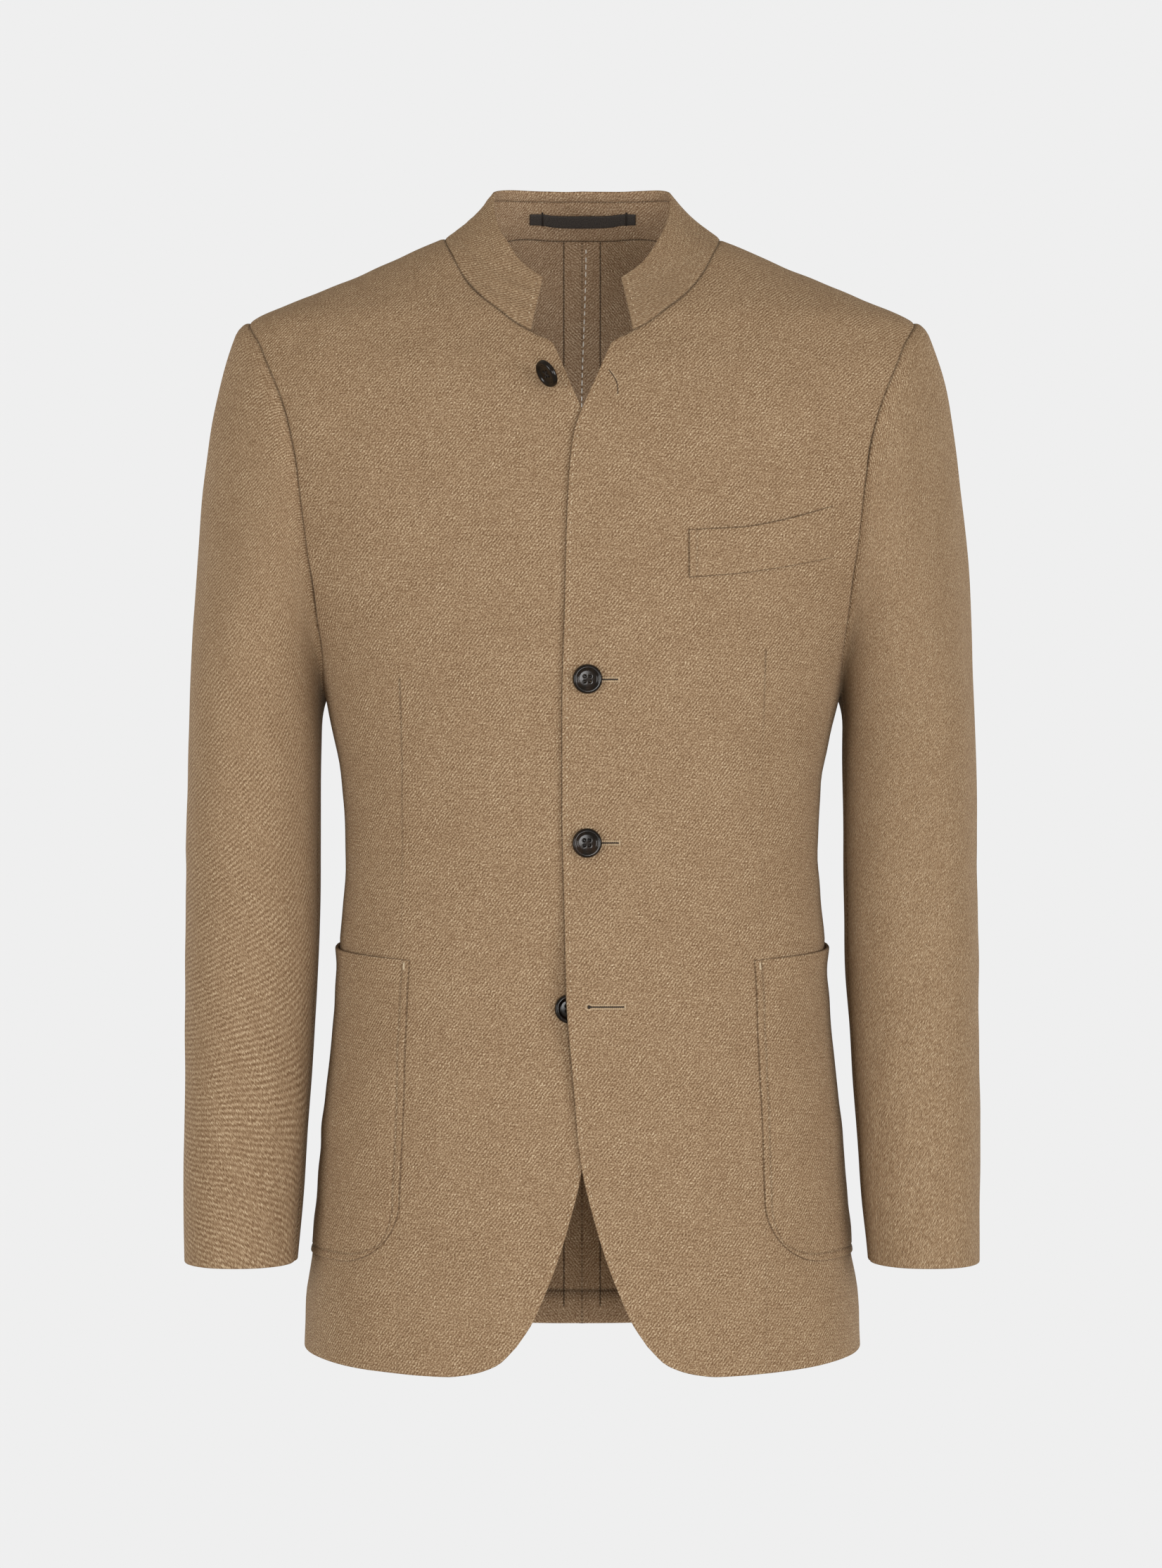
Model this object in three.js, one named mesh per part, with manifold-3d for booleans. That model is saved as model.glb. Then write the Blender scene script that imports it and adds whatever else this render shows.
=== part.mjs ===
// Stand-collar blazer, filled out as when it is worn, with nobody in it.
// Millimetres, +Z up, the front faces -Y and the wearer's left is +X.
// The origin is between the shoulders, at the height where the collar meets the shoulder seams.
import * as THREE from 'three';
import { mergeVertices } from 'three/addons/utils/BufferGeometryUtils.js';
import Module from 'manifold-3d';

const wasm = await Module();
wasm.setup();

// Cloth and seams
const CLOTH = 2;
const COLLAR_CLOTH = 2.6;
const TAPE_THICKNESS = 1;
const SEAM_GAP = 0.3;
const OVAL_POWER = 2.3;
const QUARTER = Math.PI / 2;

// Ovals of the body by height: half width, and depth in front of and behind the side line
const BODY_OVALS = [
  { z: -800, half: 197.5, front: 128, back: 119 },
  { z: -745, half: 195.5, front: 127, back: 118 },
  { z: -685, half: 189.2, front: 124.5, back: 116 },
  { z: -605, half: 181.5, front: 120, back: 112.5 },
  { z: -545, half: 175.6, front: 116.5, back: 109.5 },
  { z: -485, half: 171.2, front: 113.5, back: 106.5 },
  { z: -427, half: 167.2, front: 111.5, back: 105 },
  { z: -387, half: 169.8, front: 113, back: 107.5 },
  { z: -347, half: 177.6, front: 117, back: 111.5 },
  { z: -324, half: 182, front: 119.5, back: 113.5 },
  { z: -305, half: 186, front: 120.5, back: 114.5 },
  { z: -263, half: 202.5, front: 121, back: 116 },
  { z: -227, half: 216, front: 120, back: 117 },
  { z: -191, half: 229, front: 117.5, back: 117 },
  { z: -160, half: 239.5, front: 114.5, back: 115.5 },
  { z: -125, half: 248.5, front: 109, back: 112 },
  { z: -93, half: 254, front: 98.5, back: 106 },
  { z: -75, half: 250, front: 89, back: 102.5 },
  { z: -63, half: 243, front: 83, back: 100 },
  { z: -57.5, half: 235, front: 80.3, back: 98.5 },
  { z: -45, half: 207, front: 71.5, back: 95 },
  { z: -31, half: 173.5, front: 61.2, back: 91.5 },
  { z: -12, half: 128.6, front: 48.8, back: 86 },
  { z: 2, half: 98.5, front: 38, back: 81.5 },
  { z: 12, half: 84, front: 34, back: 78 },
  { z: 20, half: 76, front: 31, back: 75 },
];

// Roll of the shoulder, slope of its line above the neck, and where widths start to run around the body
const SHOULDER_ROLL = { front: 75, back: 150, neckSlope: 0.8, aroundBelow: -190 };

// Front edge by height: how far it passes the centre line, and falls short of it at neck and cutaway
const FRONT_EDGE = [
  { z: -764, past: -44 },
  { z: -750, past: -34.5 },
  { z: -730, past: -25 },
  { z: -705, past: -15.5 },
  { z: -680, past: -8 },
  { z: -652, past: -1.5 },
  { z: -631, past: 2 },
  { z: -588, past: 6.2 },
  { z: -530, past: 11 },
  { z: -473, past: 12.5 },
  { z: -402, past: 14 },
  { z: -330, past: 14 },
  { z: -272, past: 12.4 },
  { z: -215, past: 11 },
  { z: -172, past: 9 },
  { z: -145, past: 6 },
  { z: -131, past: 1.5 },
  { z: -112, past: -7 },
  { z: -93, past: -15 },
  { z: -81.5, past: -20 },
];

// Front hem by distance around from the centre front
const FRONT_HEM = [
  { around: 41.8, z: -764 },
  { around: 55, z: -778 },
  { around: 71, z: -784 },
  { around: 84, z: -786 },
  { around: 120, z: -785.5 },
  { around: 165, z: -783 },
  { around: 215, z: -780 },
];
const SIDE_HEM = -780;
const BACK_HEM = -785;

// Neckline: an oval in plan, lying on the body; the collar ends short of the front corners
const NECKLINE = { half: 98, front: 91, back: 78 };
const COLLAR_END_TURN = 22;

// Top edge of the collar: an oval in plan, and its height by turn
const COLLAR_TOP = { half: 63, front: 62, back: 50, firstTurn: 25 };
const COLLAR_TOP_HEIGHT = [
  { turn: 25, z: -32 },
  { turn: 33, z: -26 },
  { turn: 41, z: -19 },
  { turn: 53, z: -4.5 },
  { turn: 72, z: 15.5 },
  { turn: 97, z: 37.4 },
  { turn: 128, z: 43 },
  { turn: 180, z: 44.6 },
];

// Armhole: an upright oval, lowest at the side seam
const ARMHOLE = { top: -57.5, bottom: -324, front: 78, back: 66 };
const SIDE_SEAM_DEPTH = 15;

// Sleeve ovals below the armhole
const SLEEVE_OVALS = [
  { z: -345, x: 231.8, y: 0, half: 46.5, depth: 67 },
  { z: -430, x: 233, y: -1, half: 47, depth: 65 },
  { z: -490, x: 233.3, y: -4, half: 47.2, depth: 62.5 },
  { z: -560, x: 235.1, y: -10, half: 45.3, depth: 59.5 },
  { z: -640, x: 237.3, y: -20, half: 42.7, depth: 55 },
  { z: -719, x: 239.4, y: -34, half: 39, depth: 51 },
];
// How the sleeve leaves the armhole and reaches its first oval, at the crown, sides and underarm
const SLEEVE_LEAVES = {
  crown: { out: 22, forward: 0, up: -6 },
  side: { out: 10, forward: 6, up: -22 },
  under: { out: 0.5, forward: 0, up: 5 },
};
const SLEEVE_ARRIVES = { crown: 170, side: 75, under: 22, crownIn: 6 };
const SLEEVE_CAP_STEPS = [0, 0.05, 0.14, 0.28, 0.45, 0.65, 0.83, 1];
const SLEEVE_LENGTH_STEPS = 10;

// Counts of cells along the seams
const ARMHOLE_CELLS = 12;
const SIDE_CELLS = 15;
const FRONT_NECK_CELLS = 6;
const BACK_NECK_CELLS = 6;
const SHOULDER_CELLS = 12;
const INSEAM_NODE = 11;
const ELBOW_SEAM_NODE = 7;
// Share by which points crowd to both ends of the front edge, and power by which they crowd to the hem's start
const EDGE_CROWDING = 0.5;
const HEM_CROWDING = 1.4;

// Right front lies under the left one, and both make room for the lowest button
const UNDERLAP = { sink: 3.2, full: 20, none: 52, lowest: -118, highest: -84 };
const LOW_BUTTON_ROOM = { x: -8.6, z: -538, left: 3, right: 3, across: 32, along: 46 };

// Chest welt by distance from the centre
const WELT = [
  { x: 72.6, bottom: -244.5, top: -211.8 },
  { x: 107, bottom: -241.4, top: -209.8 },
  { x: 135, bottom: -237, top: -204.6 },
  { x: 172, bottom: -229, top: -193.5 },
];
const WELT_CELLS = { across: 7, up: 2 };
const WELT_CLEARANCE = 0.6;
const WELT_CLOTH = 1.6;

// Patch pocket, by distance around from the centre front
const POCKET = {
  topFront: -506,
  topBack: -496,
  bottom: -715,
  frontTop: 101,
  frontBottom: 109,
  backTop: 212,
  backBottom: 229,
  cornerAround: 36,
  cornerUp: 46,
  clearance: 1.2,
};
const POCKET_CELLS = { across: 14, up: 9 };

// Buttons
const BUTTON = { radius: 10.1, rim: 3.6, holeRadius: 0.95, holeSpacing: 1.75, segments: 20 };
const CHEST_BUTTON = { x: 3.7, z: -313.6, gap: 0.45 };
const WAIST_BUTTON = { x: 3.4, z: -425.2, gap: 0.9 };
const LOW_BUTTON = { x: -8.6, z: -538, gap: 1.2 };
const NECK_BUTTON = { x: -22.8, z: -107, lift: 7.5, face: [-0.74, -0.454, -0.49] };

// Hanger tape inside the collar at the back
const HANGER = { halfLength: 39.5, low: 0.3, high: 0.52, clearance: 0.5 };

const CLOTH_COLOUR = 0x8c7356;
const POCKET_COLOUR = 0x87705a;
const BUTTON_COLOUR = 0x1d1713;
const TAPE_COLOUR = 0x1c1a19;

// Smooth curve through a column of a table, without overshoot between the rows
function curve(rows, input, output) {
  const x = rows.map((row) => row[input]);
  const y = rows.map((row) => row[output]);
  const last = x.length - 1;
  const chord = x.slice(1).map((next, i) => (y[i + 1] - y[i]) / (next - x[i]));
  const slope = x.map((_, i) => {
    const before = chord[Math.max(i - 1, 0)];
    const after = chord[Math.min(i, last - 1)];
    return before * after <= 0 ? 0 : (2 * before * after) / (before + after);
  });
  return (value) => {
    const at = Math.min(Math.max(value, x[0]), x[last]);
    let i = 0;
    while (i < last - 1 && at > x[i + 1]) i += 1;
    const span = x[i + 1] - x[i];
    const t = (at - x[i]) / span;
    const keep = (1 + 2 * t) * (1 - t) ** 2 * y[i] + t * t * (3 - 2 * t) * y[i + 1];
    return keep + span * (t * (1 - t) ** 2 * slope[i] - t * t * (1 - t) * slope[i + 1]);
  };
}

const bodyHalf = curve(BODY_OVALS, 'z', 'half');
const bodyFront = curve(BODY_OVALS, 'z', 'front');
const bodyBack = curve(BODY_OVALS, 'z', 'back');
const edgePast = curve(FRONT_EDGE, 'z', 'past');
const frontHem = curve(FRONT_HEM, 'around', 'z');
const collarTopHeight = curve(COLLAR_TOP_HEIGHT, 'turn', 'z');

const radians = (degrees) => (degrees * Math.PI) / 180;
const degrees = (angle) => (angle * 180) / Math.PI;
const mix = (from, to, share) => from + (to - from) * share;
const vector = (x, y, z) => new THREE.Vector3(x, y, z);

function ease(from, to, value) {
  const t = Math.min(Math.max((value - from) / (to - from), 0), 1);
  return t * t * (3 - 2 * t);
}

// Distance from the middle of an oval to its line, by turn from the end of its depth
function ovalReach(turn, half, depth) {
  const across = Math.abs(Math.sin(turn)) / half;
  const along = Math.abs(Math.cos(turn)) / depth;
  return (across ** OVAL_POWER + along ** OVAL_POWER) ** (-1 / OVAL_POWER);
}

// Point of the body's form, by turn from centre front and height
function bodyPoint(turn, z) {
  const depth = Math.cos(turn) >= 0 ? bodyFront(z) : bodyBack(z);
  const reach = ovalReach(turn, bodyHalf(z), depth);
  return vector(reach * Math.sin(turn), -reach * Math.cos(turn), z);
}

function bodyNormal(turn, z) {
  const [turnStep, heightStep] = [0.01, 1];
  const around = bodyPoint(turn + turnStep, z).sub(bodyPoint(turn - turnStep, z));
  const up = bodyPoint(turn, z + heightStep).sub(bodyPoint(turn, z - heightStep));
  return around.cross(up).normalize();
}

// Height at which the body's form has the neckline's plan, by turn in degrees
function necklineHeight(turn) {
  const angle = radians(turn);
  const facing = Math.cos(angle) >= 0;
  const want = ovalReach(angle, NECKLINE.half, facing ? NECKLINE.front : NECKLINE.back);
  let [low, high] = [-140, 30];
  for (let i = 0; i < 40; i += 1) {
    const middle = (low + high) / 2;
    const depth = facing ? bodyFront(middle) : bodyBack(middle);
    if (ovalReach(angle, bodyHalf(middle), depth) > want) low = middle;
    else high = middle;
  }
  return low;
}

// Turn of the point of the body's form at a distance x or a depth y from its middle lines
function turnAtX(x, z) {
  const share = Math.min(Math.abs(x / bodyHalf(z)), 1) ** OVAL_POWER;
  return Math.atan2(x, bodyFront(z) * (1 - share) ** (1 / OVAL_POWER));
}

function turnAtY(y, z) {
  const depth = y < 0 ? bodyFront(z) : bodyBack(z);
  const share = Math.min(Math.abs(y / depth), 1) ** OVAL_POWER;
  return Math.atan2(bodyHalf(z) * (1 - share) ** (1 / OVAL_POWER), -y);
}

// Height of the shoulder line over a distance from the centre, carried on inwards above the neck
function shoulderHeight(across) {
  const last = BODY_OVALS[BODY_OVALS.length - 1];
  if (across <= last.half) return last.z + SHOULDER_ROLL.neckSlope * (last.half - across);
  let [low, high] = [ARMHOLE.top, last.z];
  for (let i = 0; i < 40; i += 1) {
    const middle = (low + high) / 2;
    if (bodyHalf(middle) > across) low = middle;
    else high = middle;
  }
  return low;
}

// Depth and roll of the shoulder for the front and back panels
const FRONT_FORM = { depth: bodyFront, roll: SHOULDER_ROLL.front };
const BACK_FORM = { depth: bodyBack, roll: SHOULDER_ROLL.back };

// Distance across a panel: plain across the shoulders, measured around the body below the armhole
function acrossOf(turn, z, { depth }) {
  const around = 1 - ease(ARMHOLE.bottom, SHOULDER_ROLL.aroundBelow, z);
  const plain = ovalReach(turn, bodyHalf(z), depth(z)) * Math.sin(turn);
  return mix(plain, (bodyHalf(z) * turn) / QUARTER, around);
}

// Flat place of a point of the cloth: distance across, and drop over the shoulder with its roll opened out
function flatten(turn, z, form) {
  const across = acrossOf(turn, z, form);
  const drop = Math.max(shoulderHeight(across) - z, 0);
  return [across, -Math.sqrt(drop * drop + 2 * form.roll * drop)];
}

// Turn and height of a flat place
function unflatten([across, down], form) {
  const z = shoulderHeight(across) + form.roll - Math.hypot(form.roll, down);
  const around = 1 - ease(ARMHOLE.bottom, SHOULDER_ROLL.aroundBelow, z);
  let [low, high] = [-0.4, QUARTER + 0.8 * around];
  for (let i = 0; i < 40; i += 1) {
    const middle = (low + high) / 2;
    if (acrossOf(middle, z, form) < across) low = middle;
    else high = middle;
  }
  return [low, z];
}

// The same for the front and for the back, whose turn starts at the centre back
const flatFront = (turn, z) => flatten(turn, z, FRONT_FORM);
const flatBack = (turn, z) => flatten(Math.PI - turn, z, BACK_FORM);
const openFront = (place) => unflatten(place, FRONT_FORM);
function openBack(place) {
  const [turn, z] = unflatten(place, BACK_FORM);
  return [Math.PI - turn, z];
}

// Place by distance around the body and height, for what is sewn on below the armhole
const openAround = ([around, z]) => [(around * QUARTER) / bodyHalf(z), z];
const openTurn = ([turn, z]) => [turn, z];

// Armhole line by angle from its top, positive to the front, as height and depth
function armholePlace(angle) {
  const middle = (ARMHOLE.top + ARMHOLE.bottom) / 2;
  const halfHeight = (ARMHOLE.top - ARMHOLE.bottom) / 2;
  const depth = angle >= 0 ? ARMHOLE.front : ARMHOLE.back;
  const reach = ovalReach(angle, depth, halfHeight);
  const shift = (SIDE_SEAM_DEPTH * (1 - Math.cos(angle))) / 2;
  return { y: shift - reach * Math.sin(angle), z: middle + reach * Math.cos(angle) };
}

// Angles that share out one side of the armhole evenly
function armholeAngles(direction) {
  const fine = 400;
  const angles = Array.from({ length: fine + 1 }, (_, i) => (direction * Math.PI * i) / fine);
  const places = angles.map(armholePlace);
  const run = [0];
  for (let i = 1; i <= fine; i += 1) {
    const step = Math.hypot(places[i].y - places[i - 1].y, places[i].z - places[i - 1].z);
    run.push(run[i - 1] + step);
  }
  return Array.from({ length: ARMHOLE_CELLS + 1 }, (_, cell) => {
    const want = (run[fine] * cell) / ARMHOLE_CELLS;
    return angles[run.findIndex((length) => length >= want - 1e-9)];
  });
}

const FRONT_ANGLES = armholeAngles(1);
const BACK_ANGLES = armholeAngles(-1);

// Points shared out along a line of flat places, evenly or as told
function spread(line, cells, crowd = (share) => share) {
  const run = [0];
  for (let i = 1; i < line.length; i += 1) {
    run.push(run[i - 1] + Math.hypot(line[i][0] - line[i - 1][0], line[i][1] - line[i - 1][1]));
  }
  const total = run[run.length - 1];
  return Array.from({ length: cells + 1 }, (_, cell) => {
    const want = total * crowd(cell / cells);
    let i = 1;
    while (i < line.length - 1 && run[i] < want) i += 1;
    const share = (want - run[i - 1]) / (run[i] - run[i - 1]);
    return [mix(line[i - 1][0], line[i][0], share), mix(line[i - 1][1], line[i][1], share)];
  });
}

const crowdEnds = (t) => t - (EDGE_CROWDING * Math.sin(2 * Math.PI * t)) / (2 * Math.PI);
const crowdStart = (t) => t ** HEM_CROWDING;
const steps = (from, to, count) => Array.from({ length: count + 1 }, (_, i) => mix(from, to, i / count));

// Grid of flat places inside four border lines
function patch(bottom, top, left, right) {
  const [columns, rows] = [bottom.length - 1, left.length - 1];
  return left.map((_, row) => bottom.map((__, column) => {
    const [u, v] = [column / columns, row / rows];
    return [0, 1].map((k) => {
      const upright = mix(bottom[column][k], top[column][k], v);
      const level = mix(left[row][k], right[row][k], u);
      const lower = mix(bottom[0][k], bottom[columns][k], u);
      const upper = mix(top[0][k], top[columns][k], u);
      return upright + level - mix(lower, upper, v);
    });
  }));
}

// Closed wall between an outer and an inner grid of points
function wall(outer, inner) {
  const [rows, columns] = [outer.length, outer[0].length];
  const points = [...outer.flat(), ...inner.flat()];
  const layer = rows * columns;
  const faces = [];
  for (let row = 0; row < rows - 1; row += 1) {
    for (let column = 0; column < columns - 1; column += 1) {
      const a = row * columns + column;
      const [b, c, d] = [a + 1, a + columns + 1, a + columns];
      faces.push([a, b, c], [a, c, d], [layer + a, layer + c, layer + b], [layer + a, layer + d, layer + c]);
    }
  }
  const border = [];
  for (let column = 0; column < columns - 1; column += 1) border.push(column);
  for (let row = 0; row < rows - 1; row += 1) border.push(row * columns + columns - 1);
  for (let column = columns - 1; column > 0; column -= 1) border.push((rows - 1) * columns + column);
  for (let row = rows - 1; row > 0; row -= 1) border.push(row * columns);
  border.forEach((a, i) => {
    const b = border[(i + 1) % border.length];
    faces.push([b, a, layer + a], [b, layer + a, layer + b]);
  });
  return solid(points, faces);
}

// Geometry of a closed body, turned so that its faces point out
function solid(points, faces) {
  const volume = faces.reduce((sum, [a, b, c]) => {
    const [p, q, r] = [points[a], points[b], points[c]];
    return sum + p.dot(q.clone().cross(r));
  }, 0);
  const index = faces.flatMap(([a, b, c]) => (volume > 0 ? [a, b, c] : [a, c, b]));
  const geometry = new THREE.BufferGeometry();
  geometry.setAttribute('position', new THREE.Float32BufferAttribute(points.flatMap((p) => p.toArray()), 3));
  geometry.setIndex(index);
  geometry.computeVertexNormals();
  return geometry;
}

const mirrored = (grid, side) => grid.map((row) => row.map((p) => vector(p.x * side, p.y, p.z)));

// Wall of cloth on the body's form, from a grid of flat places and a height above the form
function bodyWall(grid, open, side, lift, thickness) {
  const layers = [0, thickness].map((depth) => grid.map((row) => row.map((place) => {
    const [turn, z] = open(place);
    const point = bodyPoint(turn, z);
    return point.addScaledVector(bodyNormal(turn, z), lift(point.x, z) - depth);
  })));
  return wall(mirrored(layers[0], side), mirrored(layers[1], side));
}

// Room at the lowest button, by distance from it on either front
function lowButtonRoom(x, z, side) {
  const across = (x * side - LOW_BUTTON_ROOM.x) / LOW_BUTTON_ROOM.across;
  const along = (z - LOW_BUTTON_ROOM.z) / LOW_BUTTON_ROOM.along;
  return Math.exp(-(across ** 2) - along ** 2);
}

function frontLift(side) {
  if (side > 0) return (x, z) => LOW_BUTTON_ROOM.left * lowButtonRoom(x, z, side);
  return (x, z) => {
    const under = 1 - ease(UNDERLAP.full, UNDERLAP.none, x);
    const below = 1 - ease(UNDERLAP.lowest, UNDERLAP.highest, z);
    return -UNDERLAP.sink * under * below - LOW_BUTTON_ROOM.right * lowButtonRoom(x, z, side);
  };
}

// Turns of the neckline's shared points
function neckTurns(from, to, flat, cells) {
  const line = steps(from, to, 60).map((turn) => flat(radians(turn), necklineHeight(turn)));
  return spread(line, cells);
}

// Side seam from hem to armhole, then the armhole to the shoulder, a distance in front of or behind the seam
function sideBorder(flat, angles, inset) {
  const heights = steps(SIDE_HEM, ARMHOLE.bottom, SIDE_CELLS);
  const seam = heights.map((z) => flat(turnAtY(SIDE_SEAM_DEPTH + inset, z), z));
  const armhole = [...angles].reverse().map((angle) => {
    const { y, z } = armholePlace(angle);
    return flat(turnAtY(y + inset, z), z);
  });
  return [...seam.slice(0, -1), ...armhole];
}

function shoulderBorder(flat, inset) {
  return steps(necklineHeight(90), ARMHOLE.top, SHOULDER_CELLS).map((z) => flat(turnAtY(inset, z), z));
}

// Front: edge and neckline on one border, side seam and armhole on the other
function frontGrid() {
  const [edgeBottom, edgeTop] = [FRONT_EDGE[0].z, FRONT_EDGE[FRONT_EDGE.length - 1].z];
  const edge = steps(edgeBottom, edgeTop, 240).map((z) => flatFront(turnAtX(-edgePast(z), z), z));
  const right = sideBorder(flatFront, FRONT_ANGLES, -SEAM_GAP / 2);
  const top = shoulderBorder(flatFront, -SEAM_GAP / 2);
  const neck = neckTurns(COLLAR_END_TURN, 90, flatFront, FRONT_NECK_CELLS);
  neck[neck.length - 1] = top[0];
  const edgeCells = right.length - 1 - neck.length;
  const left = [...spread(edge, edgeCells, crowdEnds), ...neck];
  const hem = steps(0, 1, 120).map((share) => {
    const around = mix(FRONT_HEM[0].around, FRONT_HEM[FRONT_HEM.length - 1].around, share);
    return flatFront(...openAround([around, frontHem(around)]));
  }).filter(([across]) => across > left[0][0] && across < right[0][0]);
  const bottom = spread([left[0], ...hem, right[0]], top.length - 1, crowdStart);
  return patch(bottom, top, left, right);
}

// Back: centre seam and neckline on one border, side seam and armhole on the other
function backGrid() {
  const centre = (z) => flatBack(Math.PI - SEAM_GAP / 2 / bodyBack(z), z);
  const right = sideBorder(flatBack, BACK_ANGLES, SEAM_GAP / 2);
  const top = shoulderBorder(flatBack, SEAM_GAP / 2);
  const neck = neckTurns(180, 90, flatBack, BACK_NECK_CELLS);
  neck[0] = centre(necklineHeight(180));
  neck[neck.length - 1] = top[0];
  const centreCells = right.length - neck.length;
  const left = [...steps(BACK_HEM, necklineHeight(180), centreCells).map(centre), ...neck.slice(1)];
  const bottom = steps(0, 1, top.length - 1).map((share) => {
    const z = mix(BACK_HEM, SIDE_HEM, ease(0, 1, share));
    const around = mix(centre(z)[0], right[0][0], share);
    return flatten((around * QUARTER) / bodyHalf(z), z, BACK_FORM);
  });
  return patch(bottom, top, left, right);
}

// Direction across a grid of points, out of its face
function gridNormals(grid) {
  const [rows, columns] = [grid.length, grid[0].length];
  return grid.map((row, r) => row.map((_, c) => {
    const along = row[Math.min(c + 1, columns - 1)].clone().sub(row[Math.max(c - 1, 0)]);
    const up = grid[Math.min(r + 1, rows - 1)][c].clone().sub(grid[Math.max(r - 1, 0)][c]);
    return along.cross(up).normalize();
  }));
}

// Point where the sleeve is sewn on, with the body's direction out of the cloth and past the seam
function armholeSeam(angle) {
  const at = (value) => {
    const { y, z } = armholePlace(value);
    return { turn: turnAtY(y, z), z };
  };
  const [here, before, after] = [at(angle), at(angle - 0.02), at(angle + 0.02)];
  const normal = bodyNormal(here.turn, here.z);
  const along = bodyPoint(after.turn, after.z).sub(bodyPoint(before.turn, before.z)).normalize();
  const past = normal.clone().cross(along).normalize();
  return { point: bodyPoint(here.turn, here.z).addScaledVector(past, SEAM_GAP), normal };
}

const ovalsUpwards = [...SLEEVE_OVALS].reverse();
const sleeveColumn = {
  x: curve(ovalsUpwards, 'z', 'x'),
  y: curve(ovalsUpwards, 'z', 'y'),
  half: curve(ovalsUpwards, 'z', 'half'),
  depth: curve(ovalsUpwards, 'z', 'depth'),
};

// Point of the sleeve below the armhole, by angle from its outer side, positive to the front
function sleevePoint(angle, z) {
  const reach = ovalReach(angle, sleeveColumn.depth(z), sleeveColumn.half(z));
  return vector(sleeveColumn.x(z) + reach * Math.cos(angle), sleeveColumn.y(z) - reach * Math.sin(angle), z);
}

// Column of sleeve points from armhole to cuff: a smooth curve over the cap, then the ovals
function sleeveLine(rawAngle) {
  const angle = wrap(rawAngle);
  const level = Math.cos(angle) ** 2;
  const crown = Math.cos(angle) > 0 ? level : 0;
  const under = Math.cos(angle) > 0 ? 0 : level;
  const side = 1 - level;
  const share = (name) => crown * SLEEVE_LEAVES.crown[name] + side * SLEEVE_LEAVES.side[name]
    + under * SLEEVE_LEAVES.under[name];
  const { point: start } = armholeSeam(angle);
  const bicep = SLEEVE_OVALS[0].z;
  const end = sleevePoint(angle, bicep);
  const rise = crown * SLEEVE_ARRIVES.crown + side * SLEEVE_ARRIVES.side + under * SLEEVE_ARRIVES.under;
  const leave = start.clone().add(vector(share('out'), -share('forward') * Math.sin(angle), share('up')));
  const arrive = end.clone().add(vector(-SLEEVE_ARRIVES.crownIn * crown, 0, rise));
  const cap = new THREE.CubicBezierCurve3(start, leave, arrive, end);
  const cuff = SLEEVE_OVALS[SLEEVE_OVALS.length - 1].z;
  const arm = steps(bicep, cuff, SLEEVE_LENGTH_STEPS).slice(1).map((z) => sleevePoint(angle, z));
  return [...SLEEVE_CAP_STEPS.map((t) => cap.getPoint(t)), ...arm];
}

// Wall of a sleeve piece between two seams, whose angles are drawn in by the seam gap
function sleeveWall(angles, side) {
  const inset = SEAM_GAP / 2 / SLEEVE_OVALS[0].depth;
  const last = angles.length - 1;
  const drawn = angles.map((angle, i) => angle + (i === 0 ? inset : 0) - (i === last ? inset : 0));
  const columns = drawn.map(sleeveLine);
  const outer = columns[0].map((_, row) => columns.map((column) => column[row]));
  const normals = sleeveNormals(drawn, outer);
  const inner = outer.map((row, r) => row.map((p, c) => p.clone().addScaledVector(normals[r][c], -CLOTH)));
  return wall(mirrored(outer, side), mirrored(inner, side));
}

// Directions out of the sleeve, taken from neighbouring lines so that both sides of a seam agree
function sleeveNormals(angles, grid) {
  const nearby = 0.03;
  return grid[0].map((_, c) => {
    const [before, here, after] = [-nearby, 0, nearby].map((shift) => sleeveLine(angles[c] + shift));
    return here.map((__, r) => {
      if (r === 0) return armholeSeam(wrap(angles[c])).normal;
      const along = before[r].clone().sub(after[r]);
      const up = here[r - 1].clone().sub(here[Math.min(r + 1, here.length - 1)]);
      return along.cross(up).normalize();
    });
  }).reduce((rows, column) => {
    column.forEach((normal, r) => rows[r].push(normal));
    return rows;
  }, grid.map(() => []));
}

// Angle brought back between minus and plus half a turn
function wrap(angle) {
  if (angle > Math.PI) return angle - 2 * Math.PI;
  return angle < -Math.PI ? angle + 2 * Math.PI : angle;
}

function topSleeveAngles() {
  const back = BACK_ANGLES.slice(1, ELBOW_SEAM_NODE + 1).reverse();
  return [...back, ...FRONT_ANGLES.slice(0, INSEAM_NODE + 1)];
}

function underSleeveAngles() {
  const front = FRONT_ANGLES.slice(INSEAM_NODE, ARMHOLE_CELLS);
  const back = BACK_ANGLES.slice(ELBOW_SEAM_NODE).reverse().map((angle) => angle + 2 * Math.PI);
  return [...front, ...back];
}

// Collar: from the neckline's points to the oval of its top edge
function collarLine(turn) {
  const z = necklineHeight(turn);
  const base = bodyPoint(radians(turn), z);
  const topTurn = mix(COLLAR_TOP.firstTurn, 180, (turn - COLLAR_END_TURN) / (180 - COLLAR_END_TURN));
  const depth = topTurn < 90 ? COLLAR_TOP.front : COLLAR_TOP.back;
  const reach = ovalReach(radians(topTurn), COLLAR_TOP.half, depth);
  const [across, along] = [Math.sin(radians(topTurn)), -Math.cos(radians(topTurn))];
  const top = vector(reach * across, reach * along, collarTopHeight(topTurn));
  const start = base.addScaledVector(top.clone().sub(base).normalize(), SEAM_GAP);
  return { start, top, normal: bodyNormal(radians(turn), z) };
}

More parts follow.
